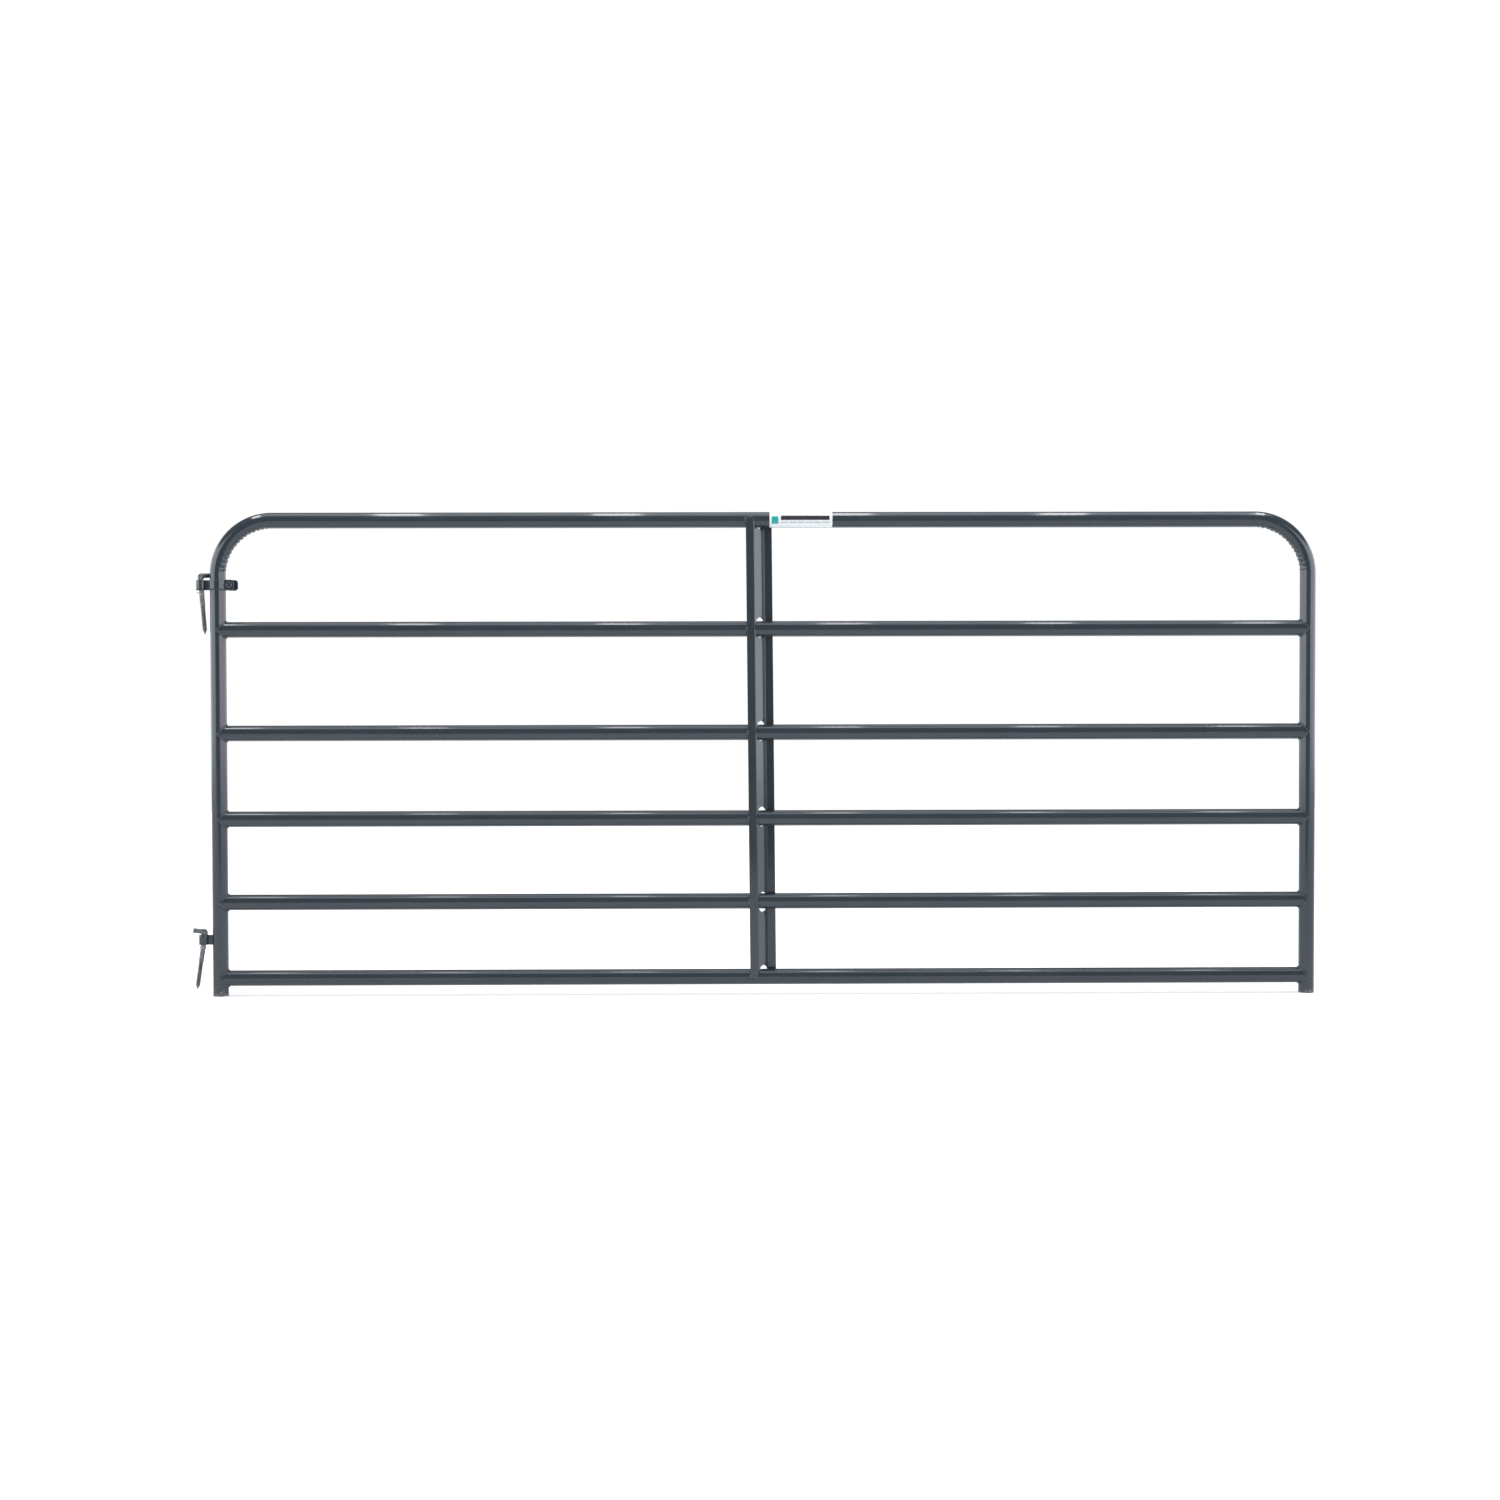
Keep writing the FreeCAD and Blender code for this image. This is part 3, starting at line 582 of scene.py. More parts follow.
@dataclass(frozen=True)
class ZincPlate:
    """Bright zinc, a little dulled, with painted shade darkening its hollows."""

    name: str = "bright_zinc"
    bright: tuple[float, float, float] = (0.165, 0.172, 0.18)
    dull: tuple[float, float, float] = (0.105, 0.11, 0.118)
    hollow_shade: tuple[float, float, float] = (0.05, 0.048, 0.044)
    rough: float = 0.36
    spread: float = 0.16
    spangle: float = 190.0
    rubbed: tuple[float, float, float] = (0.3, 0.3, 0.3)
    hollow_shade_depth: float = 0.75
    hollow_rough: float = 0.3

    def make(self, effects: Effects) -> Material:
        """Builds the material.

        Args:
            effects: the shared node groups.

        Returns:
            The material.
        """
        material, desk = blank_material(self.name)
        place = desk.add("TexCoord").outputs["Object"]
        drift = effects.drift.use(desk, {"First": (*self.bright, 1), "Second": (*self.dull, 1),
                                         "Scale": 70.0, "Fleck": 0.5})
        wear = effects.wear.use(desk, {"Reach": 0.58, "Amount": 0.4})
        peel = effects.peel.use(desk, {"Scale": 900.0, "Fine": 0.4})
        cells = desk.add("TexVoronoi", {"Vector": place, "Scale": self.spangle}).outputs["Color"]
        spark = desk.add("SeparateXYZ", {"Vector": cells}).outputs["X"]
        hollow = wear.outputs["Hollow"]
        # painted shade: the hollows blend towards a dark tone, as if shade fell in them
        colour = desk.blend(desk.times(hollow, self.hollow_shade_depth), drift.outputs["Color"], (*self.hollow_shade, 1))
        colour = desk.blend(wear.outputs["Mask"], colour, (*self.rubbed, 1))
        rough = desk.math("ADD", desk.times(spark, self.spread), self.rough)
        rough = desk.math("ADD", rough, desk.times(hollow, self.hollow_rough))
        bump = desk.add("Bump", {"Strength": 0.18, "Distance": 0.0004,
                                 "Height": peel.outputs["Height"]})
        desk.surface({"Base Color": colour, "Roughness": rough, "Metallic": 1.0,
                      "Normal": bump.outputs["Normal"]})
        return material


@dataclass(frozen=True)
class PrintedFilm:
    """White vinyl label film with a plain teal block and dark bars."""

    name: str = "printed_film"
    white: tuple[float, float, float] = (0.70, 0.71, 0.715)
    teal: tuple[float, float, float] = (0.012, 0.30, 0.27)
    dark: tuple[float, float, float] = (0.025, 0.022, 0.028)
    grey: tuple[float, float, float] = (0.30, 0.40, 0.38)
    block: tuple[float, float, float, float] = (0.03, 0.14, 0.27, 0.67)
    bar: tuple[float, float, float, float] = (0.18, 0.955, 0.47, 0.71)
    dashes: int = 6
    dash_start: float = 0.18
    dash_step: float = 0.132
    dash_long: float = 0.115
    dash_low: float = 0.32
    dash_high: float = 0.38

    @staticmethod
    def _bar(desk: NodeDesk, place: Socket, box: tuple[float, float, float, float],
             soft: float = 0.006) -> Socket:
        """A block of ink.

        Args:
            desk: where the nodes go.
            place: the film's own coordinates, 0 to 1 along and up.
            box: left, right, bottom and top of the block.
            soft: width of its edge.

        Returns:
            The block's mask.
        """
        parts = desk.add("SeparateXYZ", {"Vector": place}).outputs
        left, right, low, high = box
        mask = desk.ramp(parts["X"], left - soft, left + soft)
        for value, start, end in ((parts["X"], right + soft, right - soft),
                                  (parts["Y"], low - 4 * soft, low + 4 * soft),
                                  (parts["Y"], high + 4 * soft, high - 4 * soft)):
            mask = desk.times(mask, desk.ramp(value, start, end))
        return mask

    def make(self, effects: Effects) -> Material:
        """Builds the material.

        Args:
            effects: the shared node groups.

        Returns:
            The material.
        """
        material, desk = blank_material(self.name)
        place = desk.add("UVMap").outputs["UV"]
        drift = effects.drift.use(desk, {"First": (*self.white, 1), "Second": (0.66, 0.67, 0.665, 1),
                                         "Scale": 40.0, "Fleck": 0.2})
        dust = effects.dust.use(desk, {"Amount": 0.2})
        peel = effects.peel.use(desk, {"Scale": 120.0, "Fine": 0.1})
        colour = drift.outputs["Color"]
        prints = [(self.block, self.teal), (self.bar, self.dark)]
        for number in range(self.dashes):
            left = self.dash_start + self.dash_step * number
            prints.append(((left, left + self.dash_long, self.dash_low, self.dash_high), self.grey))
        for box, ink in prints:
            colour = desk.blend(self._bar(desk, place, box), colour, (*ink, 1))
        colour = desk.blend(dust.outputs["Mask"], colour, (0.62, 0.58, 0.52, 1))
        rough = desk.ramp(drift.outputs["Cloud"], 0.0, 1.0, 0.26, 0.36)
        bump = desk.add("Bump", {"Strength": 0.12, "Distance": 0.0006,
                                 "Height": peel.outputs["Height"]})
        desk.surface({"Base Color": colour, "Roughness": rough, "Normal": bump.outputs["Normal"]})
        return material


@dataclass
class Palette:
    """Every finish of the gate."""

    paint: Material
    weld: Material
    fixing: Material
    zinc: Material
    wire: Material
    film: Material

    @classmethod
    def mix(cls) -> "Palette":
        """Makes all the finishes."""
        effects = Effects()
        return cls(
            paint=PowderCoat().make(effects),
            weld=PowderCoat(name="coated_weld", gloss=0.24, wear_reach=0.6, wear=0.35,
                            peel_depth=0.25, dust_amount=0.22).make(effects),
            fixing=PowderCoat(name="coated_fixing", wear=0.0, dust_amount=0.2).make(effects),
            zinc=ZincPlate().make(effects),
            wire=ZincPlate(name="drawn_wire", bright=(0.42, 0.43, 0.42), dull=(0.28, 0.29, 0.28),
                           rough=0.26, spread=0.1, spangle=500.0).make(effects),
            film=PrintedFilm().make(effects))


# ---------------------------------------------------------------- the gate


@dataclass
class GateSizes:
    """Sizes read from the CAD frame, in metres."""

    tube_r: float
    left_x: float
    right_x: float
    top_z: float
    rail_z: list[float]

    @classmethod
    def read(cls) -> "GateSizes":
        """Reads the boxes of the CAD nodes."""
        low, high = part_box("perimeter_tube")
        rails = [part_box(f"rail_{number}") for number in range(1, 6)]
        radius = (rails[0][1].z - rails[0][0].z) / 2
        levels = [(bottom.z + top.z) / 2 for bottom, top in rails]
        return cls(radius, low.x + radius, high.x - radius, high.z - radius, levels)


@dataclass
class TubeFrame:
    """The bent outer tube and the five rails."""

    sizes: GateSizes
    bend_r: float = 142.5 * MM
    wall: float = 1.0 * MM
    sides: int = 72
    wrinkles: int = 16
    wrinkle_depth: float = 1.9 * MM
    bend_rows: int = 256
    post_rows: int = 24
    span_rows: int = 48
    foot_depth: float = 140.0 * MM

    def build(self, palette: Palette) -> list[Thing]:
        """Builds the outer tube and the rails.

        Args:
            palette: the finishes.

        Returns:
            The new pieces.
        """
        outer = self._outer().painted("bent_outer_tube", palette.paint)
        made = [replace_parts(outer, "perimeter_tube")]
        for number, level in enumerate(self.sizes.rail_z, 1):
            rail = self._rail(level).painted(f"coped_rail_{number}", palette.paint)
            made.append(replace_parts(rail, f"rail_{number}"))
        return made

    def _stations(self) -> tuple[list[Station], list[float]]:
        """Cross-sections from foot to foot, and how far round its bend each lies."""
        s, r = self.sizes, self.bend_r
        made, turns = [], []

        def lay(centre: Vector, out: Vector, turn: float) -> None:
            """Adds one cross-section."""
            made.append(Station(centre, out, FRONT))
            turns.append(turn)

        post, span = self.post_rows, self.span_rows
        for i in range(post):
            lay(Vector((s.left_x, 0, (s.top_z - r) * i / post)), Vector((-1, 0, 0)), -1.0)
        for side, middle in ((-1, s.left_x + r), (1, s.right_x - r)):
            for i in range(self.bend_rows + 1):
                share = i / self.bend_rows
                angle = math.pi * (1 - share / 2) if side < 0 else math.pi / 2 * (1 - share)
                out = Vector((math.cos(angle), 0, math.sin(angle)))
                lay(Vector((middle, 0, s.top_z - r)) + r * out, out, share)
            if side < 0:
                for i in range(1, span):
                    x = s.left_x + r + (s.right_x - s.left_x - 2 * r) * i / span
                    lay(Vector((x, 0, s.top_z)), UP.copy(), -1.0)
        for i in range(1, post + 1):
            lay(Vector((s.right_x, 0, (s.top_z - r) * (1 - i / post))), Vector((1, 0, 0)), -1.0)
        return made, turns

    def _outer(self) -> Skin:
        """The outer tube, open at the feet, crushed a little inside its bends."""
        stations, turns = self._stations()
        radius, bore = self.sizes.tube_r, self.sizes.tube_r - self.wall

        def reach(number: int, angle: float) -> float:
            """The radius at a cross-section and angle, 0 being the outside of the bend."""
            share = turns[number]
            if share < 0:
                return radius
            fade = ease(0.0, 0.10, share) * ease(1.0, 0.90, share)
            inside = ease(0.30, 0.98, -math.cos(angle)) * fade
            here = Vector((share * 23.0, math.sin(angle) * 1.4, stations[number].centre.x))
            wander = 0.35 * noise.noise(here)
            phase = share * self.wrinkles + wander
            crest = (0.5 + 0.5 * math.cos(2 * math.pi * phase)) ** 1.4
            return radius + self.wrinkle_depth * inside * (crest - 0.45)

        angles = [2 * math.pi * i / self.sides for i in range(self.sides)]
        rows = [[s.point(a, reach(n, a)) for a in angles] for n, s in enumerate(stations)]
        skin = Skin()
        numbers = skin.rings(rows)
        for ring, station in ((numbers[0], stations[0]), (numbers[-1], stations[-1])):
            inner = [station.point(a, bore) for a in angles]
            deep = [p + UP * self.foot_depth for p in inner]
            rim = skin.rings([inner, deep])
            for i, j in neighbours(self.sides):
                skin.faces.append((ring[i], ring[j], rim[0][j], rim[0][i]))
            skin.cap(rim[1], station.centre + UP * self.foot_depth, False)
        return skin

    def _rail(self, level: float) -> Skin:
        """One straight tube, its ends coped to the posts."""
        s = self.sizes
        rows = []
        steps = self.post_rows
        shares = [0.0, 0.004, 0.012, *(i / steps for i in range(1, steps)), 0.988, 0.996, 1.0]
        for share in shares:
            row = []
            for i in range(self.sides):
                angle = 2 * math.pi * i / self.sides
                y, z = s.tube_r * math.sin(angle), level + s.tube_r * math.cos(angle)
                cope = math.sqrt(max(s.tube_r ** 2 - y * y, 0.0))
                start, end = s.left_x + cope, s.right_x - cope
                row.append(Vector((start + (end - start) * share, y, z)))
            rows.append(row)
        skin = Skin()
        skin.rings(rows)
        return skin


@dataclass
class BraceStrip:
    """The leaning Z-section strip in the middle, punched round the tubes."""

    sizes: GateSizes
    width: float = 68.7 * MM
    web_run: float = 26.0 * MM
    sheet: float = 1.9 * MM
    bend: float = 2.5 * MM
    offset: float = -8.8 * MM
    lean: float = 0.47
    seat: float = 0.1 * MM
    top_end: float = 6.0 * MM
    hole_r: float = 26.0 * MM
    hole_lift: float = 3.9 * MM
    hole_drop: float = 2.2 * MM
    punch_spare: float = 1.4 * MM
    edge: float = 0.45 * MM
    rows: int = 60
    bend_steps: int = 6

    @property
    def middle(self) -> float:
        """Where the strip stands along the gate."""
        return (self.sizes.left_x + self.sizes.right_x) / 2 + self.offset

    @property
    def tilt(self) -> Matrix:
        """The strip's lean in the plane of the gate."""
        half = (self.sizes.top_z + self.sizes.tube_r) / 2
        pivot = Matrix.Translation(Vector((self.middle, 0, half)))
        return pivot @ Matrix.Rotation(math.radians(-self.lean), 4, "Y") @ pivot.inverted()

    def section(self) -> list[Vector]:
        """The strip's outline seen from above, its bends rounded."""
        mid, half = self.middle, self.sizes.tube_r + self.seat + self.sheet / 2
        slope = math.hypot(self.web_run, 2 * half)
        shift = self.sheet / 2 * (slope - self.web_run) / (2 * half)
        near, far = half - self.sheet / 2, half + self.sheet / 2
        inner, outer = self.bend, self.bend + self.sheet
        run = self.web_run / 2
        corners = [(mid - self.width / 2, -far, 0.0), (mid - run + shift, -far, outer),
                   (mid + run + shift, near, inner), (mid + self.width / 2, near, 0.0),
                   (mid + self.width / 2, far, 0.0), (mid + run - shift, far, outer),
                   (mid - run - shift, -near, inner), (mid - self.width / 2, -near, 0.0)]
        line = []
        for i, (x, y, radius) in enumerate(corners):
            here = Vector((x, y, 0))
            if not radius:
                line.append(here)
                continue
            before = (Vector((*corners[i - 1][:2], 0)) - here).normalized()
            after = (Vector((*corners[(i + 1) % 8][:2], 0)) - here).normalized()
            half_angle = before.angle(after) / 2
            centre = here + (before + after).normalized() * (radius / math.sin(half_angle))
            start = here + before * (radius / math.tan(half_angle)) - centre
            end = here + after * (radius / math.tan(half_angle)) - centre
            start.normalize()
            end.normalize()
            line += [centre + radius * start.slerp(end, k / self.bend_steps)
                     for k in range(self.bend_steps + 1)]
        return line

    def build(self, palette: Palette) -> list[Thing]:
        """Builds the strip and punches it.

        Args:
            palette: the finishes.

        Returns:
            The new piece.
        """
        s = self.sizes
        foot, top = s.rail_z[-1] - 1 * MM, s.top_z + self.top_end
        outline = self.section()
        skin = Skin()
        levels = [foot + (top - foot) * i / self.rows for i in range(self.rows + 1)]
        numbers = skin.rings([[p + UP * level for p in outline] for level in levels])
        skin.faces += [tuple(numbers[0]), tuple(numbers[-1])]
        strip = skin.painted("punched_brace_strip", palette.paint, SHEET_CREASE)
        strip.data.transform(self.tilt)
        self._punch(strip)
        evened(strip, self.edge)
        return [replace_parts(strip, "z_brace")]

    def _punch(self, strip: Thing) -> None:
        """Cuts the round holes in the web, one for each tube."""
        half = self.sizes.tube_r + self.seat + self.sheet / 2
        normal = Vector((2 * half, -self.web_run, 0)).normalized()
        levels = [self.sizes.top_z, *self.sizes.rail_z]
        shifts = [self.hole_lift] * 4 + [-self.hole_drop, self.hole_lift]
        cutters = Skin()
        for level, shift in zip(levels, shifts):
            centre = Vector((self.middle, 0, level + shift))
            depth = (self.sheet + self.punch_spare) / 2
            cut = rod([Station(centre + normal * d, UP, normal.cross(UP)) for d in (-depth, depth)],
                      lambda n, a: self.hole_r, 96)
            cutters.absorb(cut)
        cutters.points = [self.tilt @ p for p in cutters.points]
        tool = bpy.data.objects.new("punches", outward_mesh("punches", cutters))
        bpy.context.scene.collection.objects.link(tool)
        cut = strip.modifiers.new("punched", "BOOLEAN")
        cut.operation, cut.solver, cut.object = "DIFFERENCE", "EXACT", tool
        bpy.context.view_layer.update()
        graph = bpy.context.evaluated_depsgraph_get()
        done = bpy.data.meshes.new_from_object(strip.evaluated_get(graph))
        strip.modifiers.clear()
        strip.data = done
        smoothed(strip.data, SHEET_CREASE)
        bpy.data.objects.remove(tool, do_unlink=True)


@dataclass
class WeldBead:
    """A weld bead laid along a line, with the ripple of each puddle."""

    line: list[Vector]
    radius: float
    closed: bool = False
    pitch: float = 2.6 * MM
    ripple: float = 0.10
    seed: int = 1
    sides: int = 14

    def skin(self) -> Skin:
        """Lays the bead."""
        stations = stations_along(self.line, self.closed)
        way = lengths_along(self.line)
        total = way[-1]

        def reach(number: int, angle: float) -> float:
            """The bead's radius at a place along it."""
            phase = (way[number] / self.pitch) % 1.0
            puddle = 1 + self.ripple * (math.sqrt(1 - (2 * phase - 1) ** 2 * 0.96) - 0.7)
            drift = 1 + 0.07 * noise.noise(self.line[number] * 180 + Vector((self.seed, 0, 0)))
            end = 1.0
            if not self.closed:
                near = min(way[number], total - way[number]) / self.radius
                end = math.sqrt(max(0.0, 1 - (1 - min(1.0, near)) ** 2)) if near < 1 else 1.0
            return self.radius * puddle * drift * end

        return rod(stations, reach, self.sides, self.closed)


@dataclass
class Welds:
    """Every weld on the gate."""

    sizes: GateSizes
    brace: BraceStrip
    bead_r: float = 3.3 * MM
    steps: int = 260
    flange_bead_r: float = 2.6 * MM
    flange_bead_half: float = 7.6 * MM
    end_bead_r: float = 2.1 * MM
    end_bead_span: tuple[float, float] = (0.8 * MM, 18.7 * MM)
    eye_bead_r: float = 2.9 * MM
    eye_bead_y: float = 3.4 * MM

    def build(self, palette: Palette) -> list[Thing]:
        """Lays the beads at the posts, along the brace and at the lower eye.

        Args:
            palette: the finishes.

        Returns:
            The new pieces.
        """
        made = []
        for side, x, node in ((1, self.sizes.left_x, "left_post_welds"),
                              (-1, self.sizes.right_x, "right_post_welds")):
            skin = Skin()
            for number, level in enumerate(self.sizes.rail_z):
                line = self._saddle(x, side, level)
                skin.absorb(WeldBead(line, self.bead_r, True, seed=number + 10 * side).skin())
            weld = skin.painted(node.replace("welds", "beads"), palette.weld, BEAD_CREASE)
            made.append(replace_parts(weld, node))
        made.append(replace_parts(self._brace_beads(palette), "brace_welds"))
        made.append(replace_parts(self._eye_beads(palette), "lower_hinge_weld"))
        return made

    def _saddle(self, x: float, side: int, level: float) -> list[Vector]:
        """The line where a rail meets a post."""
        line, r = [], self.sizes.tube_r
        for i in range(self.steps):
            angle = 2 * math.pi * i / self.steps
            y = r * math.sin(angle)
            line.append(Vector((x + side * math.sqrt(max(r * r - y * y, 0.0)), y,
                                level + r * math.cos(angle))))
        return line

    @staticmethod
    def _straight(start: Vector, end: Vector, steps: int = 40) -> list[Vector]:
        """Points on a straight line."""
        return [start.lerp(end, i / steps) for i in range(steps + 1)]

    def _brace_beads(self, palette: Palette) -> Thing:
        """Short beads beside the front flange, and one across each of its ends."""
        s, b = self.sizes, self.brace
        left, y = b.middle - b.width / 2, -s.tube_r - 0.3 * MM
        skin = Skin()
        for number, level in enumerate([s.top_z, *s.rail_z]):
            half = self.flange_bead_half
            ends = [b.tilt @ Vector((left - 0.6 * MM, y, level + dz)) for dz in (-half, half)]
            skin.absorb(WeldBead(self._straight(*ends), self.flange_bead_r, seed=30 + number).skin())
        for level in (s.top_z + b.top_end + 0.8 * MM, s.rail_z[-1] - 1.8 * MM):
            ends = [b.tilt @ Vector((left + dx, y, level)) for dx in self.end_bead_span]
            skin.absorb(WeldBead(self._straight(*ends), self.end_bead_r, seed=40).skin())
        return skin.painted("brace_beads", palette.weld, BEAD_CREASE)

    def _eye_beads(self, palette: Palette) -> Thing:
        """Two upright beads where the lower eye meets the post."""
        low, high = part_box("lower_hinge_weld")
        skin = Skin()
        for side in (-1, 1):
            y = side * self.eye_bead_y
            x = self.sizes.left_x - math.sqrt(self.sizes.tube_r ** 2 - y * y)
            ends = [Vector((x, y, z)) for z in (low.z + 0.2 * MM, high.z - 0.2 * MM)]
            skin.absorb(WeldBead(self._straight(*ends, 60), self.eye_bead_r, seed=50 + side).skin())
        return skin.painted("lower_eye_beads", palette.weld, BEAD_CREASE)


@dataclass
class StrapRibbon:
    """A steel strap bent edge-on along a line seen from above, with eased edges."""

    line: list[Vector]
    middle_z: float
    half_height: Callable[[float, float], float]
    thick: float = 3.2 * MM
    edge: float = 0.55 * MM
    across: int = 7

    @staticmethod
    def arc(centre: Vector, radius: float, first: float, last: float, steps: int) -> list[Vector]:
        """Points round part of a circle, its angles in degrees."""
        turns = (math.radians(first + (last - first) * i / steps) for i in range(steps + 1))
        return [centre + radius * Vector((math.cos(a), math.sin(a), 0)) for a in turns]

    @staticmethod
    def relaxed(corners: Sequence[Vector], spacing: float, rounds: int) -> list[Vector]:
        """Even points along a line of corners, its kinks bent round.

        Args:
            corners: the line.
            spacing: distance between the new points.
            rounds: how many times each point moves towards its neighbours.

        Returns:
            The bent line.
        """
        way = lengths_along(corners)
        count, line, k = int(way[-1] / spacing), [], 0
        for i in range(count + 1):
            at = way[-1] * i / count
            while k < len(way) - 2 and way[k + 1] < at:
                k += 1
            gap = max(way[k + 1] - way[k], 1e-9)
            line.append(corners[k].lerp(corners[k + 1], (at - way[k]) / gap))
        for _ in range(rounds):
            between = [b * 0.5 + (a + c) * 0.25 for a, b, c in zip(line, line[1:], line[2:])]
            line = [line[0], *between, line[-1]]
        return line

    def skin(self) -> Skin:
        """Both faces, the rounded edges and the cut ends."""
        way = lengths_along(self.line)
        half, e, soft = self.thick / 2, self.edge, 0.3 * self.edge
        rows = []
        for i, p in enumerate(self.line):
            ahead = self.line[min(i + 1, len(self.line) - 1)] - self.line[max(i - 1, 0)]
            side = Vector((-ahead.y, ahead.x, 0)).normalized()
            tall = self.half_height(way[i], way[-1] - way[i])
            nip = e * (1 - ease(0.0, e, min(way[i], way[-1] - way[i])))
            section = []
            for k in range(self.across):
                section.append((half - nip, (1 - 2 * k / (self.across - 1)) * (tall - e)))
            section += [(half - soft - nip, -tall + soft), (half - e - nip, -tall),
                        (-half + e + nip, -tall), (-half + soft + nip, -tall + soft)]
            for k in range(self.across):
                section.append((-half + nip, (2 * k / (self.across - 1) - 1) * (tall - e)))
            section += [(-half + soft + nip, tall - soft), (-half + e + nip, tall),
                        (half - e - nip, tall), (half - soft - nip, tall - soft)]
            rows.append([p + side * u + UP * (self.middle_z + v) for u, v in section])
        skin = Skin()
        numbers = skin.rings(rows)
        skin.cap(numbers[0], self.line[0] + UP * self.middle_z, True)
        skin.cap(numbers[-1], self.line[-1] + UP * self.middle_z, False)
        return skin


@dataclass
class HingeFittings:
    """The clamp-on strap, its bolt, washer and nut, and the weld-on eye."""

    sizes: GateSizes
    strap: float = 3.2 * MM
    eye_r: float = 10.0 * MM
    slit: float = 0.4 * MM
    seat: float = 0.3 * MM
    tab_gap: float = 23.0 * MM
    front_reach: float = 44.4 * MM
    back_reach: float = 50.4 * MM
    band_half: float = 13.25 * MM
    tab_half: float = 14.0 * MM
    tab_corner: float = 8.0 * MM
    bolt_r: float = 3.97 * MM
    head_r: float = 9.15 * MM
    head_height: float = 4.6 * MM
    thread_pitch: float = 1.41 * MM
    thread_depth: float = 0.45 * MM
    thread_run: float = 24.0 * MM
    thread_rows: int = 200
    dome_rows: int = 12
    arc_rows: int = 60
    eye_rows: int = 72
    spacing: float = 0.7 * MM

    def build(self, palette: Palette, frame: dict) -> list[Thing]:
        """Bends both straps, turns a new bolt and dresses washer and nut.

        Args:
            palette: the finishes.
            frame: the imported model.

        Returns:
            The pieces.
        """
        clamp = self._clamp().painted("rolled_clamp_strap", palette.paint, STRAP_CREASE)
        eye = self._lower_eye().painted("rolled_lower_eye", palette.paint, STRAP_CREASE)
        made = [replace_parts(clamp, "upper_hinge_strap"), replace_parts(eye, "lower_hinge_eye")]
        for node in ("clamp_washer", "clamp_nut"):
            piece = frame["nodes"][node]
            for slot in piece.material_slots:
                slot.material = palette.fixing
            evened(piece, 0.3 * MM)
            made.append(piece)
        bolt = self._bolt().painted("carriage_bolt", palette.fixing, STRAP_CREASE)
        made.append(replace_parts(bolt, "clamp_bolt"))
        return made

    def _eye_line(self) -> list[Vector]:
        """The line of a rolled eye, from its front ply round to its back ply."""
        ring, ply = self.eye_r + self.strap / 2, (self.slit + self.strap) / 2
        start = math.degrees(math.asin(ply / ring))
        return StrapRibbon.arc(Vector(), ring, -start, -360 + start, self.eye_rows)

    def _clamp(self) -> Skin:
        """One strap from its front tab round the post and the eye to its back tab."""
        post = Vector((self.sizes.left_x, 0, 0))
        ring, ply = self.sizes.tube_r + self.seat + self.strap / 2, (self.slit + self.strap) / 2
        tab = (self.tab_gap + self.strap) / 2
        mouth, neck = math.degrees(math.asin(tab / ring)), math.degrees(math.asin(ply / ring))
        front = [post + Vector((self.front_reach, -tab, 0))]
        front += StrapRibbon.arc(post, ring, -mouth, -180 + neck, self.arc_rows)
        back = StrapRibbon.arc(post, ring, 180 - neck, mouth, self.arc_rows)
        back += [post + Vector((self.back_reach, tab, 0))]
        line = StrapRibbon.relaxed(front + self._eye_line() + back, self.spacing, 10)

        def tall(start: float, end: float) -> float:
            """Half the strap's height, its tabs a little taller and rounded at their corners."""
            near = min(start, end)
            half = self.band_half + (self.tab_half - self.band_half) * ease(26 * MM, 20 * MM, near)
            short = max(0.0, self.tab_corner - near)
            return half - self.tab_corner + math.sqrt(max(0.0, self.tab_corner ** 2 - short ** 2))

        low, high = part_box("upper_hinge_strap")
        return StrapRibbon(line, (low.z + high.z) / 2, tall, self.strap).skin()

    def _lower_eye(self) -> Skin:
        """A short strap rolled into an eye, its tails on the post."""
        low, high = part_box("lower_hinge_eye")
        ply = (self.slit + self.strap) / 2
        tail = self.sizes.left_x - math.sqrt(self.sizes.tube_r ** 2 - ply ** 2) - 0.1 * MM
        corners = [Vector((tail, -ply, 0)), *self._eye_line(), Vector((tail, ply, 0))]
        line = StrapRibbon.relaxed(corners, self.spacing, 6)
        half = (high.z - low.z) / 2
        return StrapRibbon(line, (low.z + high.z) / 2, lambda start, end: half, self.strap).skin()

    def _bolt(self) -> Skin:
        """A domed head and a shank with a rolled thread at its far end."""
        low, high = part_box("clamp_bolt")
        centre = Vector(((low.x + high.x) / 2, 0, (low.z + high.z) / 2))
        across, beside = Vector((1, 0, 0)), UP.copy()
        tall, wide, steps = self.head_height, self.head_r, self.thread_rows
        profile = []
        for i in range(self.dome_rows + 1):
            a = math.pi / 2 * i / self.dome_rows
            rim = 0.985 if i == self.dome_rows else 1
            profile.append((low.y + tall * (1 - math.cos(a)) * 0.86, wide * math.sin(a) * rim))
        profile[0] = (low.y, 0.02 * MM)
        profile += [(low.y + tall * 0.93, wide), (low.y + tall, wide * 0.98), (low.y + tall, self.bolt_r)]
        start, end = high.y - self.thread_run, high.y
        for i in range(steps + 1):
            profile.append((start + (end - start) * i / steps, -1.0))
        first = len(profile) - steps - 1

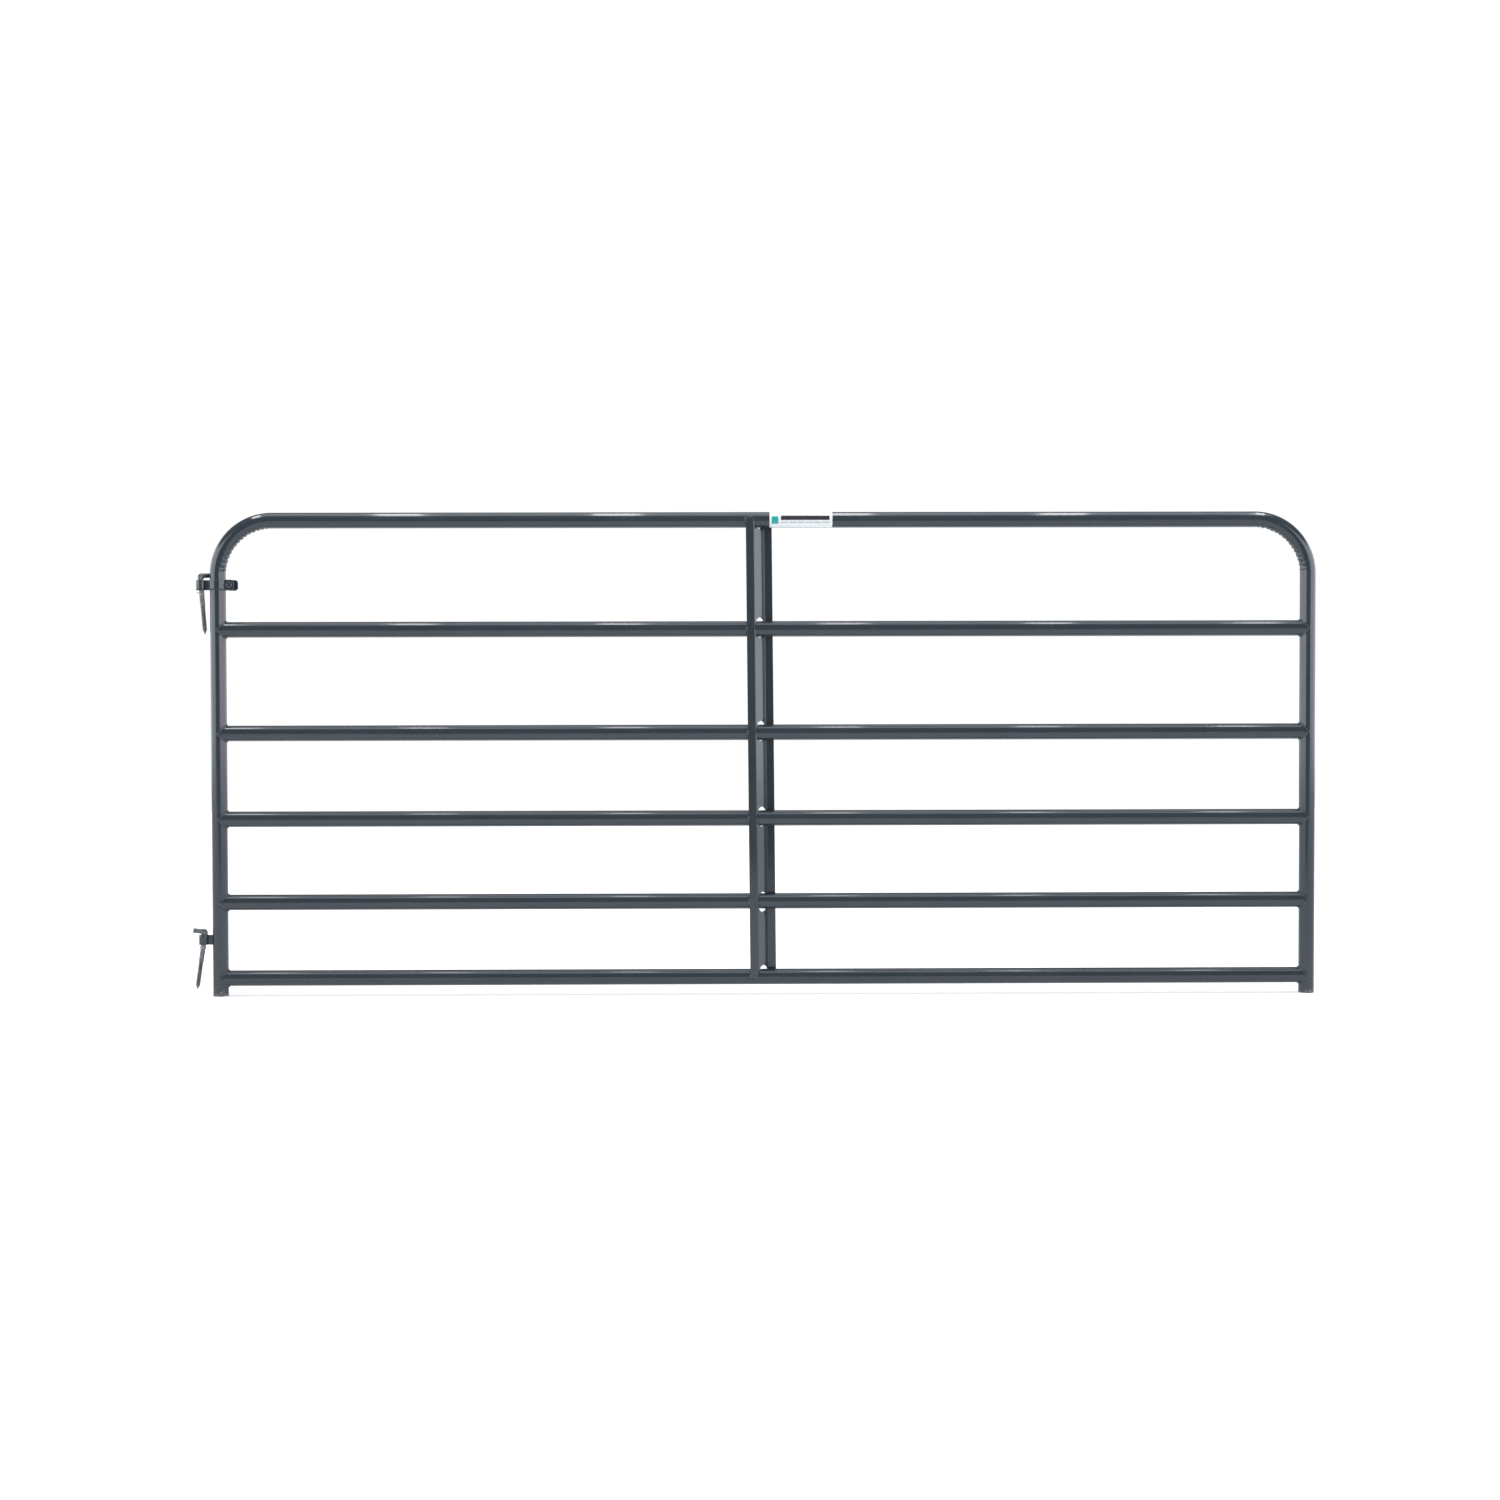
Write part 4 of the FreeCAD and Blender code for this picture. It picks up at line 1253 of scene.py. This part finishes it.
        def reach(number: int, angle: float) -> float:
            """The bolt's radius, with the thread's ridge winding along it."""
            y, r = profile[number]
            if number < first:
                return r
            phase = ((y - start) / self.thread_pitch - angle / (2 * math.pi)) % 1.0
            run_in = ease(start, start + 1 * MM, y)
            ridge = self.thread_depth * ease(0.0, 1.0, abs(2 * phase - 1)) * run_in
            tip = 0.7 * MM * ease(end - 0.9 * MM, end, y)
            return self.bolt_r - ridge - tip

        stations = [Station(centre + Vector((0, y, 0)), across, beside) for y, _ in profile]
        return rod(stations, reach, 36)


@dataclass
class ScrewHook:
    """An L-shaped hook of round rod with a lag thread, hung in a hinge eye."""

    body: Body
    node: str
    eye_z: float
    pin_z: float
    azimuth: float
    tilt: float
    rod_r: float = 6.35 * MM
    pin_r: float = 6.25 * MM
    length: float = 152.4 * MM
    thread: float = 76.0 * MM
    pitch: float = 5.3 * MM
    depth: float = 1.6 * MM
    reach: float = 31.0 * MM
    fillet: float = 11.6 * MM
    corner: float = 4.6 * MM
    chamfer: float = 1.2 * MM
    point: float = 13.0 * MM
    sides: int = 40
    bend_rows: int = 24
    rows_per_turn: int = 16

    @property
    def pose(self) -> Matrix:
        """Where the hook hangs: its corner, turned and leaning."""
        turn = (Matrix.Rotation(math.radians(self.azimuth), 4, "Z")
                @ Matrix.Rotation(math.radians(-self.tilt), 4, "Y"))
        rise = (self.pin_z - self.eye_z) / math.cos(math.radians(self.tilt))
        corner = Vector((0, 0, self.eye_z)) + turn @ Vector((0, 0, rise))
        return Matrix.Translation(corner) @ turn

    def _line(self) -> tuple[list[Vector], list[Vector], list[float]]:
        """The rod's centre line from pin end to screw tip, the outward side, and bend shares."""
        f = self.fillet
        points, outs, shares = [], [], []
        for x in (self.reach, self.reach - 0.5 * MM, self.reach - self.chamfer,
                  self.reach - 6 * MM, f + 1.5 * MM):
            points.append(Vector((x, 0, 0)))
            outs.append(UP.copy())
            shares.append(-1.0)
        for i in range(self.bend_rows + 1):
            a = math.pi / 2 * i / self.bend_rows
            out = Vector((-math.sin(a), 0, math.cos(a)))
            points.append(Vector((f, 0, -f)) + f * out)
            outs.append(out)
            shares.append(i / self.bend_rows)
        start = self.length - self.thread
        for i in range(1, 9):
            points.append(Vector((0, 0, -f - (start - f) * i / 9)))
        rows = int(self.thread / self.pitch * self.rows_per_turn)
        for i in range(rows + 1):
            points.append(Vector((0, 0, -start - self.thread * i / rows)))
        outs += [Vector((-1, 0, 0))] * (len(points) - len(outs))
        shares += [-1.0] * (len(points) - len(shares))
        return points, outs, shares

    def _radius(self, point: Vector, share: float, angle: float) -> float:
        """The rod's radius at a point of its centre line, angle 0 being outside the bend."""
        if share >= 0:
            bulge = self.corner * math.sin(math.pi * share) ** 1.6
            return self.rod_r + bulge * max(0.0, math.cos(angle)) ** 2.2
        if point.x > 1e-6:
            left = self.reach - point.x
            return self.pin_r - self.chamfer * (1 - ease(0.0, self.chamfer, left) ** 0.5)
        deep = -point.z - (self.length - self.thread)
        if deep <= 0:
            return self.rod_r
        phase = (deep / self.pitch + angle / (2 * math.pi)) % 1.0
        groove = ease(0.0, 0.34, phase) * ease(0.90, 0.62, phase)
        run_in = ease(0.0, self.pitch, deep)
        taper = ease(self.point, 0.0, self.thread - deep)
        core = self.rod_r - self.depth * groove * run_in
        return core * (1 - 0.78 * taper) + 0.15 * MM

    def build(self, palette: Palette) -> list[Thing]:
        """Turns the hook and hangs it.

        Args:
            palette: the finishes.

        Returns:
            The new piece.
        """
        points, outs, shares = self._line()
        beside = Vector((0, 1, 0))
        stations = [Station(p, o, beside) for p, o in zip(points, outs)]
        skin = rod(stations, lambda n, a: self._radius(points[n], shares[n], a), self.sides)
        skin.points = [self.pose @ p for p in skin.points]
        name = self.node.replace("screw", "lag_screw")
        hook = skin.piece(name, palette.zinc, self.body, Slot.ZINC, 55.0)
        return [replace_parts(hook, self.node)]


@dataclass
class TieWire:
    """A keeper wire wound round a hook's shank under its eye."""

    hook: ScrewHook
    node: str
    drop: float
    turns: float
    climb: float
    start: float
    ends: tuple[tuple[float, float, float], ...] = ()
    wire_r: float = 1.0 * MM
    gap: float = 0.2 * MM
    rows_per_turn: int = 16

    def build(self, palette: Palette) -> list[Thing]:
        """Winds the wire.

        Args:
            palette: the finishes.

        Returns:
            The new piece.
        """
        ring = self.hook.rod_r + self.wire_r + self.gap
        top = -(self.hook.pin_z - self.hook.eye_z + self.drop)
        steps = int(self.turns * self.rows_per_turn)
        points = []
        for i in range(steps + 1):
            angle = math.radians(self.start) + 2 * math.pi * self.turns * i / steps
            points.append(Vector((ring * math.cos(angle), ring * math.sin(angle),
                                  top - self.climb * self.turns * i / steps)))
        if self.ends:
            first, last = (Vector(end) * MM for end in self.ends)
            points = [Vector((first.x, -ring + first.y, top + first.z)), *points,
                      Vector((last.x, -ring + last.y, top - self.climb + last.z))]
        back = Matrix.Rotation(math.radians(-self.hook.azimuth), 4, "Z")
        line = [self.hook.pose @ (back @ p) for p in through(points, 5)]
        stations = stations_along(line)
        last_one = len(line) - 1

        def reach(number: int, angle: float) -> float:
            """The wire's radius, nipped at its cut ends."""
            nip = 0.82 if number in (0, last_one) else 1.0
            return self.wire_r * nip * (1 + 0.02 * noise.noise(line[number] * 900))

        skin = rod(stations, reach, 14)
        name = self.node.replace("tie", "keeper")
        wire = skin.piece(name, palette.wire, self.hook.body, Slot.WIRE, BEAD_CREASE)
        return [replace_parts(wire, self.node)]


@dataclass
class Label:
    """The film label on the front of the top rail."""

    sizes: GateSizes
    gap: float = 0.12 * MM
    thick: float = 0.24 * MM
    bubble: float = 0.07 * MM
    half_angle: float = 71.5
    along: int = 60
    around: int = 40

    def build(self, palette: Palette) -> list[Thing]:
        """Cuts the film and wraps it on the tube.

        Args:
            palette: the finishes.

        Returns:
            The new piece.
        """
        low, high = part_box("label")
        half = math.radians(self.half_angle)
        inner = self.sizes.tube_r + self.gap
        rng = random.Random(7)
        dents = [(rng.random(), rng.random()) for _ in range(5)]

        def place(u: float, v: float, radius: float) -> Vector:
            """A point of the film, u along and v up."""
            swell = sum(self.bubble * math.exp(-((u - a) ** 2 * 400 + (v - b) ** 2 * 60))
                        for a, b in dents)
            angle = -half + 2 * half * v
            reach = radius + (swell if radius > inner else 0.0)
            return Vector((low.x + (high.x - low.x) * u, -reach * math.cos(angle),
                           self.sizes.top_z + reach * math.sin(angle)))

        skin = Skin()
        grid = [[(i / self.along, j / self.around) for i in range(self.along + 1)]
                for j in range(self.around + 1)]
        for radius in (inner + self.thick, inner):
            start = len(skin.points)
            width = self.along + 1
            for row in grid:
                skin.points += [place(u, v, radius) for u, v in row]
            for j in range(self.around):
                for i in range(self.along):
                    a = start + j * width + i
                    skin.faces.append((a, a + 1, a + width + 1, a + width))
        width, count = self.along + 1, (self.along + 1) * (self.around + 1)
        edge = ([i for i in range(width)] + [width * (j + 1) - 1 for j in range(1, self.around + 1)]
                + [width * self.around + i for i in range(self.along - 1, -1, -1)]
                + [width * j for j in range(self.around - 1, 0, -1)])
        for a, b in zip(edge, edge[1:] + edge[:1]):
            skin.faces.append((a, b, b + count, a + count))
        film = skin.piece("wrapped_label", palette.film, Body.GATE, Slot.FILM, STRAP_CREASE)
        layer = film.data.uv_layers.new(name="film")
        for loop in film.data.loops:
            p = film.data.vertices[loop.vertex_index].co
            angle = math.atan2(p.z - self.sizes.top_z, -p.y)
            layer.data[loop.index].uv = ((p.x - low.x) / (high.x - low.x), (angle + half) / (2 * half))
        return [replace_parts(film, "label")]


# ---------------------------------------------------------------- studio


@dataclass
class Studio:
    """A pale floor, soft light from the sides and above, and the camera."""

    eye: tuple[float, float, float] = (1.3765, -6.1885, 0.8186)
    yaw: float = 0.01012
    pitch: float = -0.02807
    roll: float = -0.0021
    lens: float = 56.4
    side_light: float = 3.8
    left_tint: tuple[float, float, float] = (0.94, 1.0, 1.07)
    right_tint: tuple[float, float, float] = (1.02, 0.98, 1.06)
    top_light: float = 2.5
    back_light: float = 2.6
    sideways: float = 0.05
    lamp_x: tuple[float, ...] = (-0.184, 0.417, 1.056, 1.735, 2.37, 3.01)
    lamp_y: float = -0.10
    lamp_z: float = 2.0
    lamp_size: tuple[float, float] = (0.14, 0.60)
    lamp_glow: float = 10.0
    room: float = 0.30
    floor_tone: float = 0.78
    floor_glow: float = 0.40
    floor_outline: tuple[tuple[float, float], ...] = (
        (-9, -8), (-0.45, -8), (-0.45, -3.95), (3.4, -3.95), (3.4, -8), (12, -8), (12, 9), (-9, 9))
    panel_foot: tuple[float, float] = (-0.05, -0.03)
    panel_head: tuple[float, float] = (0.50, 0.34)
    panel_turn: tuple[float, float] = (0.45, 0.53)
    rear_turn: tuple[float, float] = (0.05, 0.45)
    overhead: tuple[float, float] = (0.86, 0.91)
    backdrop: tuple[float, float, float] = (1.02, 1.02, 1.02)

    def build(self) -> None:
        """Sets up floor, light and camera."""
        self._floor()
        self._world()
        self._lamps()
        self._camera()
        view = bpy.context.scene.view_settings
        view.view_transform, view.look = "Standard", "None"

    def _floor(self) -> None:
        """A plain pale floor."""
        mesh = bpy.data.meshes.new("floor")
        corners = [(x, y, 0) for x, y in self.floor_outline]
        mesh.from_pydata(corners, [], [tuple(range(len(corners)))])
        floor = bpy.data.objects.new("floor", mesh)
        bpy.context.scene.collection.objects.link(floor)
        material = bpy.data.materials.new("pale_floor")
        material.use_nodes = True
        shader = material.node_tree.nodes["Principled BSDF"]
        shader.inputs["Base Color"].default_value = (self.floor_tone,) * 3 + (1,)
        shader.inputs["Roughness"].default_value = 0.9
        shader.inputs["Specular IOR Level"].default_value = 0.0
        shader.inputs["Emission Color"].default_value = (1, 1, 1, 1)
        shader.inputs["Emission Strength"].default_value = self.floor_glow
        mesh.materials.append(material)

    def _world(self) -> None:
        """Light panels at the sides and above; the room in front and behind stays dim."""
        world = bpy.data.worlds.new("studio")
        bpy.context.scene.world = world
        world.use_nodes = True
        world.node_tree.nodes.clear()
        desk = NodeDesk(world.node_tree)
        heading = desk.add("TexCoord").outputs["Generated"]
        parts = desk.add("SeparateXYZ", {"Vector": heading}).outputs
        squared = desk.times(parts["Z"], parts["Z"])
        flat = desk.math("SQRT", desk.math("SUBTRACT", 1.0001, squared))
        turn = desk.math("ADD", desk.math("DIVIDE", parts["X"], flat), self.sideways)
        turn = desk.math("ABSOLUTE", turn)
        back = desk.math("DIVIDE", parts["Y"], flat)
        band = desk.times(desk.ramp(parts["Z"], *self.panel_foot),
                         desk.ramp(parts["Z"], *self.panel_head))
        panels = desk.times(band, desk.ramp(turn, *self.panel_turn))
        left, right, rear, top = (
            tuple(light * c for c in tint) + (1,)
            for light, tint in ((self.side_light, self.left_tint), (self.side_light, self.right_tint),
                                (self.back_light, self.left_tint), (self.top_light, self.left_tint)))
        side = desk.blend(desk.ramp(parts["X"], -0.1, 0.1), left, right)
        tone = desk.blend(desk.ramp(back, *self.rear_turn), side, rear)
        dim = desk.blend(panels, (self.room,) * 3 + (1,), tone)
        glow = desk.blend(desk.ramp(parts["Z"], *self.overhead), dim, top)
        seen = desk.blend(desk.add("LightPath").outputs["Is Camera Ray"], glow, (*self.backdrop, 1))
        background = desk.add("Background", {"Color": seen})
        desk.add("OutputWorld", {"Surface": background.outputs[0]})

    def _lamps(self) -> None:
        """A row of small soft lamps just above the gate."""
        wide, deep = self.lamp_size
        for number, x in enumerate(self.lamp_x, 1):
            data = bpy.data.lights.new(f"lamp_{number}", "AREA")
            data.shape, data.size, data.size_y = "RECTANGLE", wide, deep
            data.energy = self.lamp_glow * math.pi * wide * deep
            lamp = bpy.data.objects.new(f"lamp_{number}", data)
            lamp.location = (x, self.lamp_y, self.lamp_z)
            lamp.visible_camera = False
            bpy.context.scene.collection.objects.link(lamp)

    def _camera(self) -> None:
        """The camera, level with the middle rails."""
        data = bpy.data.cameras.new("camera")
        data.lens, data.sensor_width = self.lens, 36.0
        data.clip_start, data.clip_end = 0.05, 60.0
        cp, sp = math.cos(self.pitch), math.sin(self.pitch)
        ahead = Vector((math.sin(self.yaw) * cp, math.cos(self.yaw) * cp, sp))
        right = Vector((math.cos(self.yaw), -math.sin(self.yaw), 0.0))
        above = right.cross(ahead)
        turned = math.cos(self.roll) * right + math.sin(self.roll) * above
        upward = math.cos(self.roll) * above - math.sin(self.roll) * right
        camera = bpy.data.objects.new("camera", data)
        bpy.context.scene.collection.objects.link(camera)
        axes = Matrix((turned, upward, -ahead)).transposed().to_4x4()
        camera.matrix_world = Matrix.Translation(Vector(self.eye)) @ axes
        bpy.context.scene.camera = camera


def main() -> None:
    """Builds every piece in order."""
    logging.basicConfig(level=logging.INFO, format="%(name)s: %(message)s")
    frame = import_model()
    palette = Palette.mix()
    sizes = GateSizes.read()
    brace = BraceStrip(sizes)
    upper = ScrewHook(Body.UPPER_HOOK, "upper_screw_hook", eye_z=1080.5 * MM, pin_z=1104.5 * MM,
                      azimuth=42.0, tilt=4.9)
    lower = ScrewHook(Body.LOWER_HOOK, "lower_screw_hook", eye_z=148.2 * MM, pin_z=169.4 * MM,
                      azimuth=195.0, tilt=7.9)
    made = TubeFrame(sizes).build(palette)
    made += brace.build(palette)
    made += Welds(sizes, brace).build(palette)
    made += HingeFittings(sizes).build(palette, frame)
    made += upper.build(palette) + lower.build(palette)
    made += TieWire(upper, "upper_tie_wire", drop=21 * MM, turns=1.117, climb=3.2 * MM, start=-112.0,
                    ends=((-10.6, -0.6, 3.6), (9.6, -0.9, -3.4))).build(palette)
    made += TieWire(lower, "lower_tie_wire", drop=17 * MM, turns=2.9, climb=2.3 * MM,
                    start=-150.0).build(palette)
    made += Label(sizes).build(palette)
    for piece in made:
        LOG.info("%s: %d faces", piece.name, len(piece.data.polygons))
    Studio().build()


if __name__ == "__main__":
    main()
